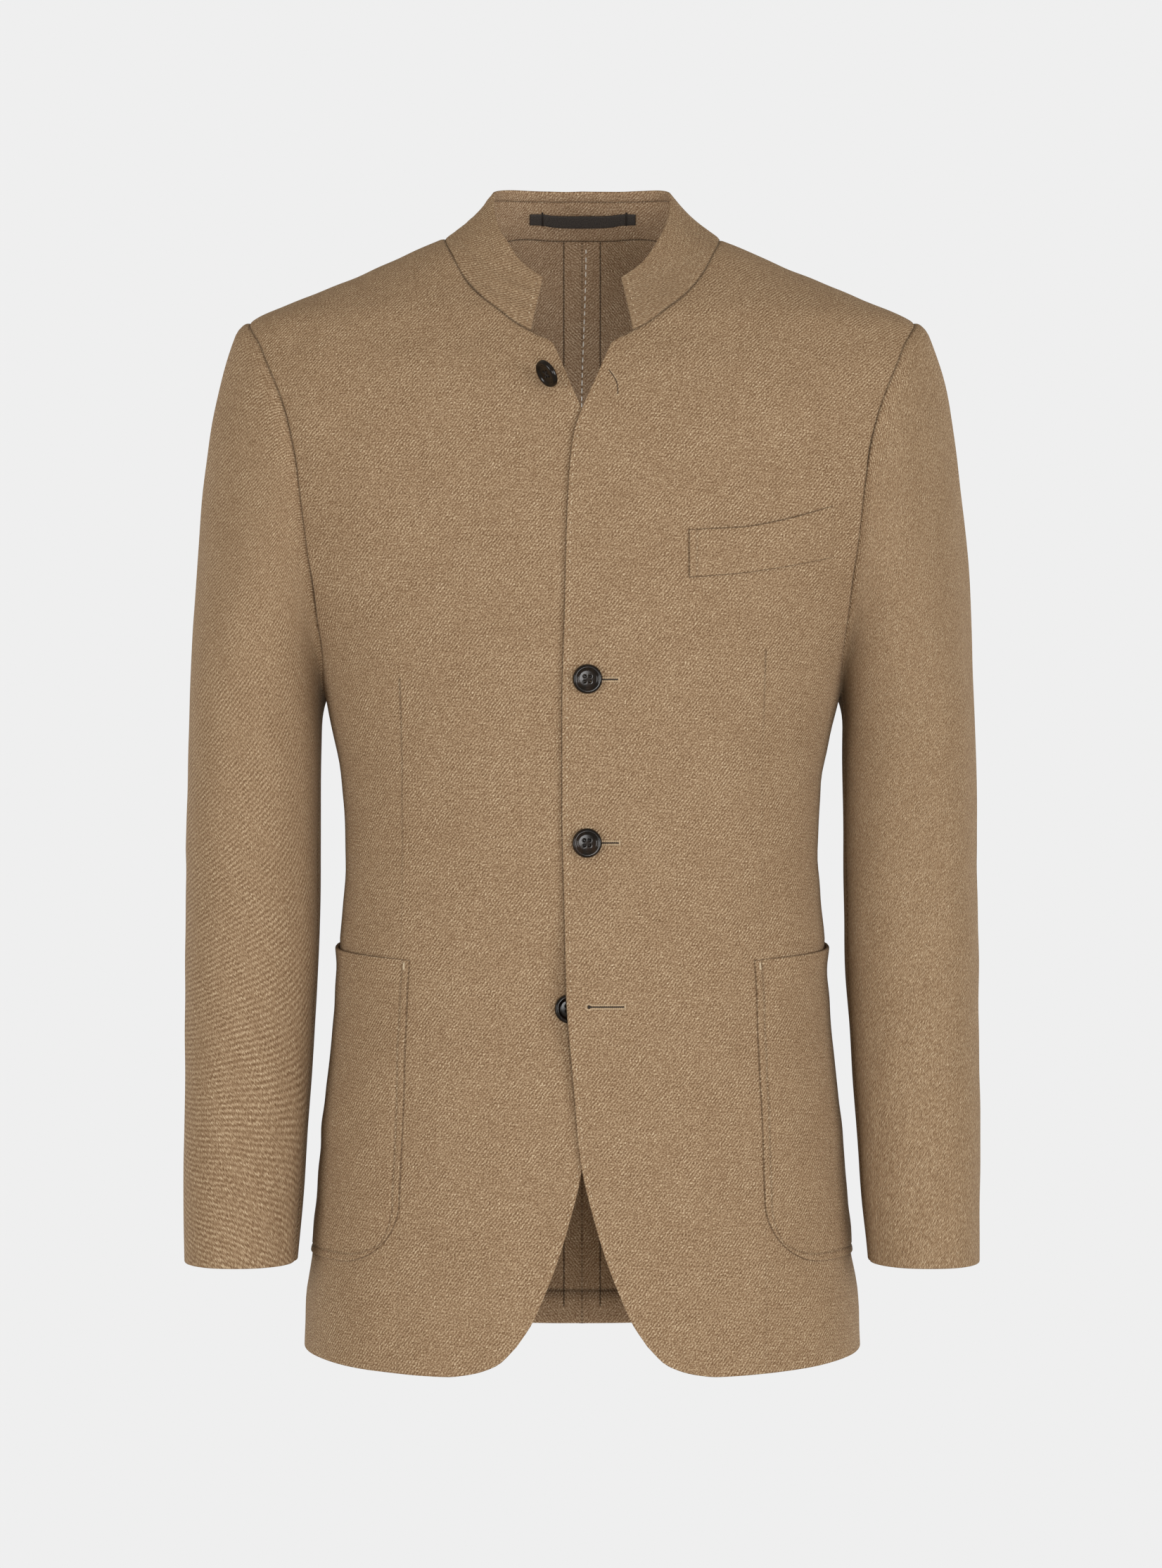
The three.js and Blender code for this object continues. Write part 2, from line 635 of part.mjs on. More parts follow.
function collarTurns() {
  const front = neckTurns(COLLAR_END_TURN, 90, flatFront, FRONT_NECK_CELLS).map((p) => degrees(openFront(p)[0]));
  const back = neckTurns(180, 90, flatBack, BACK_NECK_CELLS).map((p) => degrees(openBack(p)[0])).reverse();
  return [...front, ...back.slice(1)];
}

// Collar grid from the left end round the back to the right end, by rows upwards
function collarGrid(turns, shares) {
  const half = turns.map(collarLine);
  const other = half.slice(0, -1).reverse().map(({ start, top, normal }) => ({
    start: vector(-start.x, start.y, start.z),
    top: vector(-top.x, top.y, top.z),
    normal: vector(-normal.x, normal.y, normal.z),
  }));
  const lines = [...half, ...other];
  const grid = shares.map((share) => lines.map(({ start, top }) => start.clone().lerp(top, share)));
  return { grid, baseNormals: lines.map(({ normal }) => normal) };
}

function collarWall() {
  const { grid, baseNormals } = collarGrid(collarTurns(), [0, 1 / 3, 2 / 3, 1]);
  const normals = gridNormals(grid);
  normals[0] = baseNormals;
  const inner = grid.map((row, r) => row.map((p, c) => p.clone().addScaledVector(normals[r][c], -COLLAR_CLOTH)));
  return wall(grid, inner);
}

// Tape on the inside of the collar, on the collar's own points moved in, cut at its two ends
function hangerWall() {
  const { grid } = collarGrid(collarTurns(), [0, HANGER.low, HANGER.high, 1]);
  const normals = gridNormals(grid);
  const layer = (depth) => [1, 2].map((r) => {
    const row = grid[r].map((p, c) => p.clone().addScaledVector(normals[r][c], -depth));
    return cutEnds(row.filter((p) => p.y > 0), HANGER.halfLength);
  });
  const inset = COLLAR_CLOTH + HANGER.clearance;
  return wall(layer(inset), layer(inset + TAPE_THICKNESS));
}

// Part of a row of points that lies within a distance from the centre
function cutEnds(row, limit) {
  const cut = [];
  row.slice(1).forEach((next, i) => {
    const here = row[i];
    const [from, to] = [limit, -limit].map((x) => (x - here.x) / (next.x - here.x));
    if (Math.abs(here.x) < limit) cut.push(here);
    if (from > 0 && from <= 1) cut.push(here.clone().lerp(next, from));
    if (to > 0 && to <= 1) cut.push(here.clone().lerp(next, to));
  });
  return cut;
}

// Grid of flat places of a patch with its two lower corners rounded
function pocketGrid() {
  const p = POCKET;
  const frontAt = (z) => mix(p.frontBottom, p.frontTop, (z - p.bottom) / (p.topFront - p.bottom));
  const backAt = (z) => mix(p.backBottom, p.backTop, (z - p.bottom) / (p.topBack - p.bottom));
  const arc = (from, to, middle, sign) => steps(from, to, 20).map((angle) => {
    const z = p.bottom + p.cornerUp * (1 - Math.cos(radians(angle)));
    return [middle - sign * p.cornerAround * Math.sin(radians(angle)), z];
  });
  const frontMiddle = frontAt(p.bottom + p.cornerUp) + p.cornerAround;
  const backMiddle = backAt(p.bottom + p.cornerUp) - p.cornerAround;
  const bottom = [...arc(45, 0, frontMiddle, 1), ...arc(0, 45, backMiddle, -1)];
  const left = [...arc(45, 90, frontMiddle, 1), [p.frontTop, p.topFront]];
  const right = [...arc(45, 90, backMiddle, -1), [p.backTop, p.topBack]];
  const top = [[p.frontTop, p.topFront], [p.backTop, p.topBack]];
  const { across, up } = POCKET_CELLS;
  return patch(spread(bottom, across), spread(top, across), spread(left, up), spread(right, up));
}

function weltGrid() {
  const [bottom, top] = [curve(WELT, 'x', 'bottom'), curve(WELT, 'x', 'top')];
  return steps(0, 1, WELT_CELLS.up).map((share) => (
    steps(WELT[0].x, WELT[WELT.length - 1].x, WELT_CELLS.across).map((x) => {
      const z = mix(bottom(x), top(x), share);
      return [turnAtX(x, z), z];
    })));
}

// Closed solid for cutting
function manifoldOf(geometry) {
  const bare = geometry.clone();
  bare.deleteAttribute('normal');
  bare.deleteAttribute('uv');
  const merged = mergeVertices(bare, 1e-4);
  return new wasm.Manifold(new wasm.Mesh({
    numProp: 3,
    vertProperties: new Float32Array(merged.attributes.position.array),
    triVerts: new Uint32Array(merged.index.array),
  }));
}

// Round button with a raised rim, dished middle and four holes, lying on its back along +Y
function buttonGeometry() {
  const { radius, rim, segments } = BUTTON;
  const profile = [
    [0, 0], [radius - 1.2, 0], [radius, 0.9], [radius, rim - 1], [radius - 0.8, rim],
    [radius - 2, rim], [radius - 3, rim - 0.9], [0, rim - 1.3],
  ].map(([r, y]) => new THREE.Vector2(r, y));
  let body = manifoldOf(new THREE.LatheGeometry(profile, segments));
  for (const [i, j] of [[-1, -1], [-1, 1], [1, -1], [1, 1]]) {
    const hole = new THREE.CylinderGeometry(BUTTON.holeRadius, BUTTON.holeRadius, 3 * rim, 8);
    hole.translate(i * BUTTON.holeSpacing, 0, j * BUTTON.holeSpacing);
    body = body.subtract(manifoldOf(hole));
  }
  const mesh = body.getMesh();
  const geometry = new THREE.BufferGeometry();
  geometry.setAttribute('position', new THREE.BufferAttribute(mesh.vertProperties, 3));
  geometry.setIndex(new THREE.BufferAttribute(mesh.triVerts, 1));
  geometry.computeVertexNormals();
  return geometry;
}

const garment = new THREE.Group();

function finish(colour, roughness) {
  return new THREE.MeshStandardMaterial({ color: colour, roughness, metalness: 0 });
}

function addPiece(name, geometry, material) {
  const mesh = new THREE.Mesh(geometry, material);
  mesh.name = name;
  garment.add(mesh);
  return mesh;
}

// Button standing on a front at x and z, a distance above the body's form, facing out or as told
function addButton(name, { x, z, face }, lift) {
  const side = Math.sign(x) || 1;
  const turn = turnAtX(Math.abs(x), z);
  const normal = bodyNormal(turn, z);
  const point = bodyPoint(turn, z).addScaledVector(normal, lift);
  const direction = face ? vector(...face).normalize() : vector(normal.x * side, normal.y, normal.z);
  const mesh = addPiece(name, buttonGeometry(), finish(BUTTON_COLOUR, 0.25));
  mesh.position.set(point.x * side, point.y, point.z);
  mesh.quaternion.setFromUnitVectors(vector(0, 1, 0), direction);
}

const cloth = () => finish(CLOTH_COLOUR, 0.95);
const pocketCloth = () => finish(POCKET_COLOUR, 0.95);
const noLift = () => 0;
const pocketLift = () => POCKET.clearance + CLOTH;
const weltLift = () => WELT_CLEARANCE + WELT_CLOTH;

for (const [name, side] of [['left', 1], ['right', -1]]) {
  addPiece(`front_${name}`, bodyWall(frontGrid(), openFront, side, frontLift(side), CLOTH), cloth());
  addPiece(`back_${name}`, bodyWall(backGrid(), openBack, side, noLift, CLOTH), cloth());
  addPiece(`top_sleeve_${name}`, sleeveWall(topSleeveAngles(), side), cloth());
  addPiece(`under_sleeve_${name}`, sleeveWall(underSleeveAngles(), side), cloth());
  addPiece(`patch_pocket_${name}`, bodyWall(pocketGrid(), openAround, side, pocketLift, CLOTH), pocketCloth());
}
addPiece('stand_collar', collarWall(), cloth());
addPiece('chest_welt', bodyWall(weltGrid(), openTurn, 1, weltLift, WELT_CLOTH), pocketCloth());
addPiece('hanger_loop', hangerWall(), finish(TAPE_COLOUR, 0.8));
addButton('button_neck', NECK_BUTTON, NECK_BUTTON.lift);
addButton('button_chest', CHEST_BUTTON, CHEST_BUTTON.gap);
addButton('button_waist', WAIST_BUTTON, WAIST_BUTTON.gap);
addButton('button_lower', LOW_BUTTON, LOW_BUTTON.gap - UNDERLAP.sink - LOW_BUTTON_ROOM.right);

export default garment;
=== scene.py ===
"""Stand-collar wool blazer, filled out and hollow: its cloth, sewing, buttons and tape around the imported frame.

Lengths are in millimetres until a mesh is made, which is in metres. +Z is up, the front faces -Y and the
wearer's left is +X. Every cloth piece is a closed wall: an outer grid, an inner grid and a strip between them.
"""

import math

import bpy
import numpy as np
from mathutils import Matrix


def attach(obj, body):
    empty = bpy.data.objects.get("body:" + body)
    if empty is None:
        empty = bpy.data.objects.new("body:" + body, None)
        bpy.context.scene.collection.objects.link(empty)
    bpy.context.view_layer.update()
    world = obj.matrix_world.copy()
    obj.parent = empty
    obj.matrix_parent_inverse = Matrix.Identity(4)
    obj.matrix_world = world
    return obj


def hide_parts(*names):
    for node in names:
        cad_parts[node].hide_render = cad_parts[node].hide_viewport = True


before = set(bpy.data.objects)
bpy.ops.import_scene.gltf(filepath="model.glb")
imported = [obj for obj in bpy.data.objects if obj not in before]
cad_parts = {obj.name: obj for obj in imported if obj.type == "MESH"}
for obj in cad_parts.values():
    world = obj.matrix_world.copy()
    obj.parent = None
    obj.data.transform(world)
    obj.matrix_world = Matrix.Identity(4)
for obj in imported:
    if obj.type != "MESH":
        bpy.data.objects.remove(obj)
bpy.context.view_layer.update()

MM = 0.001
QUARTER = math.pi / 2
CLOTH = 2.0
COLLAR_CLOTH = 2.6
SEAM_GAP = -0.08
OVAL_POWER = 2.3

# Body ovals by height: half width, and depth in front of and behind the side line
BODY_OVALS = np.array([
    (-800, 197.5, 128, 119), (-745, 195.5, 127, 118), (-685, 189.2, 124.5, 116), (-605, 181.5, 120, 112.5),
    (-545, 175.6, 116.5, 109.5), (-485, 171.2, 113.5, 106.5), (-427, 167.2, 111.5, 105), (-387, 169.8, 113, 107.5),
    (-347, 177.6, 117, 111.5), (-324, 182, 119.5, 113.5), (-305, 186, 120.5, 114.5), (-263, 202.5, 121, 116),
    (-227, 216, 120, 117), (-191, 229, 117.5, 117), (-160, 239.5, 114.5, 115.5), (-125, 248.5, 109, 112),
    (-93, 254, 98.5, 106), (-75, 250, 89, 102.5), (-63, 243, 83, 100), (-57.5, 235, 80.3, 98.5),
    (-45, 207, 71.5, 95), (-31, 173.5, 61.2, 91.5), (-12, 128.6, 48.8, 86), (2, 98.5, 38, 81.5),
    (12, 84, 34, 78), (20, 76, 31, 75),
])
FRONT_ROLL, BACK_ROLL = 75, 150
NECK_SLOPE = 0.8
AROUND_BELOW = -190

# Front edge: height and how far it passes the centre line; front hem: distance around and height
FRONT_EDGE = np.array([
    (-766, -44), (-752, -34.5), (-731, -25), (-706, -15.5), (-681, -8), (-654, -1.2), (-633, 2.4), (-588, 6.4),
    (-530, 11), (-473, 12.5), (-402, 14), (-330, 14), (-272, 12.4), (-215, 11), (-172, 9), (-145, 6),
    (-131, 1.5), (-112, -7), (-93, -15), (-81.5, -20),
])
FRONT_HEM = np.array([(41.8, -766), (55, -780), (71, -786.5), (84, -788.5), (120, -787.5), (165, -784), (215, -780)])
SIDE_HEM = -780
BACK_HEM = -785

# Neckline and collar: half widths and depths in plan, and the collar's top edge by turn
NECKLINE = {"half": 98, "front": 91, "back": 78, "drawn_in": 0.04, "drawn_at": 141}
COLLAR_TOP = {"half": 63, "front": 62, "back": 50}
COLLAR_END_TURN = 22
COLLAR_TOP_TURN = 25
COLLAR_TOP_HEIGHT = np.array([
    (25, -32), (33, -26), (41, -19), (53, -4.5), (72, 15.5), (97, 37.4), (128, 43), (180, 44.6),
])

# Armhole and sleeve
ARMHOLE = {"top": -57.5, "bottom": -324, "front": 78, "back": 66}
SIDE_SEAM_DEPTH = 15
SLEEVE_OVALS = np.array([
    (-719, 239.4, -34, 39, 51), (-640, 237.3, -20, 42.7, 55), (-560, 235.1, -10, 45.3, 59.5),
    (-490, 233.3, -4, 47.2, 62.5), (-430, 233, -1, 47, 65), (-345, 231.8, 0, 46.5, 67),
])
BICEP, CUFF = -345, -719
SLEEVE_OUT = {"crown": 22, "side": 10, "under": 0.5}
SLEEVE_FORWARD = {"crown": 0, "side": 6, "under": 0}
SLEEVE_UP = {"crown": -6, "side": -22, "under": 5}
SLEEVE_RISE = {"crown": 170, "side": 75, "under": 22}
INSEAM_SHARE, ELBOW_SHARE = 11 / 12, 7 / 12

# Right front under the left one, and both at the lowest button
UNDERLAP = {"sink": 2.8, "full": 20, "none": 52, "lowest": -118, "highest": -84}
LOW_ROOM = {"x": -8.6, "z": -538, "lift": 3, "across": 32, "along": 46}

# Borders of the panels: fine steps to a cell, and cells of each stretch
FINE = 8
SIDE_CELLS, ARMHOLE_CELLS, NECK_CELLS, SHOULDER_CELLS = 15, 12, 6, 12
EDGE_SHARE, CENTRE_SHARE, HEM_CROWDING = 0.66, 0.57, 1.4

# Cloth turned in inside: seam allowances, the hem's turn-up and the cuffs'
SIDE_ALLOWANCE, CENTRE_ALLOWANCE = 13, 13.5
HEM_TURN_UP, CUFF_TURN_UP = 24, 40

# Lines of stitches: their distance from a pocket's border and from the ends of the welt
POCKET_STITCH, WELT_STITCH = 5.6, 5.5

# Distances from a border at which grid lines lie, so that its rounding and its seam are drawn
AT_EDGE = np.array([0, 0.12, 0.4, 0.8, 1.3, 2.4, 4.2, 6.5])
AT_SEAM = np.array([0, 0.35, 0.9, 1.7, 3, 5.2, 8.6, 12.6, 13.3, 16])
AT_CENTRE = np.array([0, 0.35, 0.9, 1.7, 3, 5, 7, 8.5, 10, 11.5, 12.8, 13.6, 14.6, 16, 17.6, 19.4, 21.5])
AT_HEM = np.array([0, 0.12, 0.4, 0.8, 1.3, 2.4, 5, 10, 16, 23.4, 24.1, 27])


def curve(rows):
    """Smooth curve through (x, y) rows: cubics whose slope at a row is the harmonic mean of the chords beside it."""
    x, y = np.asarray(rows, float).T
    chord = np.diff(y) / np.diff(x)
    before, after = np.append(chord[:1], chord), np.append(chord, chord[-1:])
    same = before * after > 0
    slope = np.where(same, 2 * before * after / np.where(same, before + after, 1), 0)

    def value(at):
        at = np.clip(at, x[0], x[-1])
        i = np.clip(np.searchsorted(x, at) - 1, 0, len(x) - 2)
        span = x[i + 1] - x[i]
        t = (at - x[i]) / span
        level = (1 + 2 * t) * (1 - t) ** 2 * y[i] + t * t * (3 - 2 * t) * y[i + 1]
        return level + span * (t * (1 - t) ** 2 * slope[i] - t * t * (1 - t) * slope[i + 1])

    return value


body_half = curve(BODY_OVALS[:, [0, 1]])
body_front = curve(BODY_OVALS[:, [0, 2]])
body_back = curve(BODY_OVALS[:, [0, 3]])
edge_past = curve(FRONT_EDGE)
front_hem = curve(FRONT_HEM)
collar_top_height = curve(COLLAR_TOP_HEIGHT)
sleeve_x, sleeve_y, sleeve_half, sleeve_depth = (curve(SLEEVE_OVALS[:, [0, k]]) for k in (1, 2, 3, 4))


def mix(a, b, share):
    """Value between a and b: a + (b - a) * share."""
    return a + (b - a) * share


def ease(low, high, value):
    """Smooth step from 0 to 1: t * t * (3 - 2 t), where t runs from low to high."""
    t = np.clip((value - low) / (high - low), 0, 1)
    return t * t * (3 - 2 * t)


def bump(distance, width):
    """Bell: exp(-(distance / width) ^ 2)."""
    return np.exp(-((distance / width) ** 2))


def unit(vectors):
    """Vectors divided by their lengths."""
    return vectors / np.linalg.norm(vectors, axis=-1, keepdims=True)


def solve(low, high, below):
    """Bisection of whole arrays: each span is halved 40 times towards the place where below() turns false."""
    for _ in range(40):
        middle = (low + high) / 2
        is_below = below(middle)
        low, high = np.where(is_below, middle, low), np.where(is_below, high, middle)
    return low


def oval_reach(turn, half, depth):
    """Distance from an oval's middle to its line: (|sin / half| ^ p + |cos / depth| ^ p) ^ (-1 / p)."""
    across, along = np.abs(np.sin(turn)) / half, np.abs(np.cos(turn)) / depth
    return (across ** OVAL_POWER + along ** OVAL_POWER) ** (-1 / OVAL_POWER)


def body_point(turn, z):
    """Point of the body's form at a turn from centre front and a height: the oval of that height, at its reach."""
    depth = np.where(np.cos(turn) >= 0, body_front(z), body_back(z))
    reach = oval_reach(turn, body_half(z), depth)
    return np.stack((reach * np.sin(turn), -reach * np.cos(turn), z + 0 * turn), -1)


def body_normal(turn, z):
    """Direction out of the body's form: the step around it crossed with the step up it."""
    around = body_point(turn + 0.01, z) - body_point(turn - 0.01, z)
    up = body_point(turn, z + 1) - body_point(turn, z - 1)
    return unit(np.cross(around, up))


def body_arc(turn, z, start=0.0, samples=24):
    """Distance along the body's oval from one turn to another at a height, as a sum of short chords."""
    share = np.linspace(0, 1, samples)
    points = body_point(start + (turn - start)[..., None] * share, z[..., None] + 0 * share)
    return np.linalg.norm(np.diff(points, axis=-2), axis=-1).sum(-1)


def neckline_height(turn):
    """Height at which the body's oval has the reach of the neckline's plan, by turn in radians."""
    facing = np.cos(turn) >= 0
    want = oval_reach(turn, NECKLINE["half"], np.where(facing, NECKLINE["front"], NECKLINE["back"]))
    want = want * (1 - NECKLINE["drawn_in"] * bump(np.degrees(turn) - NECKLINE["drawn_at"], 17))

    def wide(z):
        return oval_reach(turn, body_half(z), np.where(facing, body_front(z), body_back(z))) > want

    return solve(np.full_like(turn, -140), np.full_like(turn, 30), wide)


def turn_at_x(x, z):
    """Turn of the front's point at a distance x from the centre: the oval solved for its depth."""
    share = np.minimum(np.abs(x / body_half(z)), 1) ** OVAL_POWER
    return np.arctan2(x, body_front(z) * (1 - share) ** (1 / OVAL_POWER))


def turn_at_y(y, z):
    """Turn of the side's point at a depth y: the oval solved for its width."""
    depth = np.where(y < 0, body_front(z), body_back(z))
    share = np.minimum(np.abs(y / depth), 1) ** OVAL_POWER
    return np.arctan2(body_half(z) * (1 - share) ** (1 / OVAL_POWER), -y)


def shoulder_height(across):
    """Height of the shoulder line: where the ovals are that wide, and a straight slope above the neck."""
    z, half = BODY_OVALS[-1, :2]
    found = solve(np.full_like(across, ARMHOLE["top"]), np.full_like(across, z), lambda at: body_half(at) > across)
    return np.where(across <= half, z + NECK_SLOPE * (half - across), found)


def across_of(turn, z, depth):
    """Distance across a panel: plain x over the shoulders, and half width * turn / quarter turn below the armhole."""
    around = 1 - ease(ARMHOLE["bottom"], AROUND_BELOW, z)
    plain = oval_reach(turn, body_half(z), depth(z)) * np.sin(turn)
    return mix(plain, body_half(z) * turn / QUARTER, around)


def flatten(turn, z, depth, roll):
    """Flat place: distance across, and drop under the shoulder with its roll opened out, sqrt(d^2 + 2 r d)."""
    across = across_of(turn, z, depth)
    drop = np.maximum(shoulder_height(across) - z, 0)
    return np.stack((across, -np.sqrt(drop * drop + 2 * roll * drop)), -1)


def unflatten(place, depth, roll):
    """Turn and height of a flat place: the roll closed again, then the turn found by bisection."""
    across, down = place[..., 0], place[..., 1]
    z = shoulder_height(across) + roll - np.hypot(roll, down)
    around = 1 - ease(ARMHOLE["bottom"], AROUND_BELOW, z)
    turn = solve(np.full_like(z, -0.4), QUARTER + 0.8 * around, lambda at: across_of(at, z, depth) < across)
    return turn, z


def flat_front(turn, z):
    """Flat place of a point of the front."""
    return flatten(turn, z, body_front, FRONT_ROLL)


def flat_back(turn, z):
    """Flat place of a point of the back, whose turn is counted from the centre back."""
    return flatten(math.pi - turn, z, body_back, BACK_ROLL)


def open_front(place):
    """Turn and height of a flat place of the front."""
    return unflatten(place, body_front, FRONT_ROLL)


def open_back(place):
    """Turn and height of a flat place of the back."""
    turn, z = unflatten(place, body_back, BACK_ROLL)
    return math.pi - turn, z


def open_around(place):
    """Turn and height of a place given by its distance around the body and its height."""
    return place[..., 0] * QUARTER / body_half(place[..., 1]), place[..., 1]


def armhole_place(angle):
    """Depth and height of the armhole: an upright oval by angle from its top, drawn back at its foot."""
    middle, half = (ARMHOLE["top"] + ARMHOLE["bottom"]) / 2, (ARMHOLE["top"] - ARMHOLE["bottom"]) / 2
    reach = oval_reach(angle, np.where(angle >= 0, ARMHOLE["front"], ARMHOLE["back"]), half)
    shift = SIDE_SEAM_DEPTH * (1 - np.cos(angle)) / 2
    return shift - reach * np.sin(angle), middle + reach * np.cos(angle)


def armhole_angle(direction, share):
    """Angle at a share of one side of the armhole's length, from its top."""
    angles = direction * np.linspace(0, math.pi, 801)
    return np.interp(share, shares_of(np.stack(armhole_place(angles), -1)), np.abs(angles)) * direction


def shares_of(line):
    """Share of a line's length at each of its points."""
    run = np.append(0, np.cumsum(np.linalg.norm(np.diff(line, axis=0), axis=1)))
    return run / run[-1]


def spread(line, cells, crowd=lambda share: share):
    """Points shared out along a line, evenly or as crowd() says."""
    want, run = crowd(np.linspace(0, 1, cells + 1)), shares_of(line)
    return np.stack([np.interp(want, run, line[:, k]) for k in range(line.shape[1])], -1)


def level_with_underarm(cells, share):
    """Crowding of a border that is at this share of its length in the row of the underarm, so rows rise to it."""
    return curve([(0, 0), (SIDE_CELLS * FINE / cells, share), (1, 1)])


def side_border(flat, direction):
    """Border from the hem up the side seam and round the armhole to the shoulder, half a gap from the seam."""
    inset = -direction * SEAM_GAP / 2
    z = np.linspace(SIDE_HEM, ARMHOLE["bottom"], SIDE_CELLS * FINE + 1)[:-1]
    angle = armhole_angle(direction, np.linspace(1, 0, ARMHOLE_CELLS * FINE + 1))
    y, armhole_z = armhole_place(angle)
    return np.concatenate((flat(turn_at_y(SIDE_SEAM_DEPTH + inset + 0 * z, z), z),
                           flat(turn_at_y(y + inset, armhole_z), armhole_z)))


def shoulder_border(flat, direction):
    """Border along the shoulder seam from the neck to the armhole."""
    z = np.linspace(float(neckline_height(np.array(QUARTER))), ARMHOLE["top"], SHOULDER_CELLS * FINE + 1)
    return flat(turn_at_y(-direction * SEAM_GAP / 2 + 0 * z, z), z)


def neck_border(flat, from_turn, to_turn):
    """Border along the neckline between two turns, in degrees."""
    turn = np.radians(np.linspace(from_turn, to_turn, 121))
    return spread(flat(turn, neckline_height(turn)), NECK_CELLS * FINE)


def front_borders():
    """Bottom, top, left and right borders of a front as flat places: its left one is the edge, then the neck."""
    z = np.linspace(FRONT_EDGE[0, 0], FRONT_EDGE[-1, 0], 481)
    edge = flat_front(turn_at_x(-edge_past(z), z), z)
    right, top = side_border(flat_front, 1), shoulder_border(flat_front, 1)
    neck = neck_border(flat_front, COLLAR_END_TURN, 90)
    neck[-1] = top[0]
    edge_cells = len(right) - 1 - len(neck) - (FINE - 1)
    edge = spread(edge, edge_cells, level_with_underarm(edge_cells, EDGE_SHARE))
    corner = edge[-1] + (neck[0] - edge[-1]) * np.linspace(0, 1, FINE + 1)[1:-1, None]
    left = np.concatenate((edge, corner, neck))
    around = np.linspace(FRONT_HEM[0, 0], FRONT_HEM[-1, 0], 241)
    hem = flat_front(*open_around(np.stack((around, front_hem(around)), -1)))
    hem = hem[(hem[:, 0] > left[0, 0]) & (hem[:, 0] < right[0, 0])]
    bottom = spread(np.concatenate((left[:1], hem, right[:1])), len(top) - 1, lambda t: t ** HEM_CROWDING)
    last = len(left) - 1
    corners = ((0, edge_cells / last), (0, (edge_cells + FINE) / last), (1, SIDE_CELLS * FINE / last))
    return (bottom, top, left, right), corners


def back_borders():
    """Bottom, top, left and right borders of a back: its left one is the centre seam, then the neck."""
    def centre(z):
        return flat_back(math.pi - SEAM_GAP / 2 / body_back(z), z)

    right, top = side_border(flat_back, -1), shoulder_border(flat_back, -1)
    neck_top = float(neckline_height(np.array(math.pi)))
    neck = neck_border(flat_back, 180, 90)
    neck[-1] = top[0]
    cells = len(right) - len(neck)
    seam = centre(mix(BACK_HEM, neck_top, level_with_underarm(cells, CENTRE_SHARE)(np.linspace(0, 1, cells + 1))))
    left = np.concatenate((seam, neck[1:]))
    share = np.linspace(0, 1, len(top))
    z = mix(BACK_HEM, SIDE_HEM, ease(0, 1, share))
    turn = mix(centre(z)[:, 0], right[0, 0], share) * QUARTER / body_half(z)
    last = len(left) - 1
    corners = ((0, (len(seam) - 1) / last), (1, SIDE_CELLS * FINE / last))
    return (flatten(turn, z, body_back, BACK_ROLL), top, left, right), corners


def patch(borders, u, v):
    """Place inside four border lines at shares u and v: both pairs of borders blended, less the corners' blend."""
    bottom, top, left, right = borders

    def at(line, share):
        steps = np.linspace(0, 1, len(line))
        return np.stack([np.interp(share, steps, line[:, k]) for k in (0, 1)], -1)

    a, b = u[..., None], v[..., None]
    level = mix(at(left, v), at(right, v), a) + mix(at(bottom, u), at(top, u), b)
    return level - mix(mix(bottom[0], bottom[-1], a), mix(top[0], top[-1], a), b)


def lines(length, cells, near_start, near_end):
    """Distances along lines of given lengths: set distances from both ends, and even steps between them."""
    length = np.asarray(length, float)[..., None]
    first, last = near_start + 0 * length, length - near_end[::-1]
    middle = mix(first[..., -1:], last[..., :1], np.linspace(0, 1, cells + 1)[1:-1])
    return np.concatenate((first, middle, last), -1)


def nearest(values, wanted):
    """Index of the value that is nearest to the wanted one."""
    return int(np.argmin(np.abs(values - wanted)))


def runs(points, axis):
    """Distance run along one axis of a grid of points."""
    step = np.linalg.norm(np.diff(points, axis=axis), axis=-1)
    return np.concatenate((np.zeros_like(np.take(step, [0], axis)), np.cumsum(step, axis)), axis)


def pinned(u, v, corners):
    """Rows nudged so that one meets each corner (side, share) of the left (0) or right (1) border.

    The nudge fades out as the distance in rows to the corner's row, and as the cube of the share across."""
    for side, share in corners:
        column = v[:, -side]
        row = np.argmin(np.abs(column - share))
        near = np.maximum(0, 1 - np.abs(np.arange(len(v)) - row) / 4)[:, None]
        v = v + (share - column[row]) * near * (u if side else 1 - u) ** 3
    return v


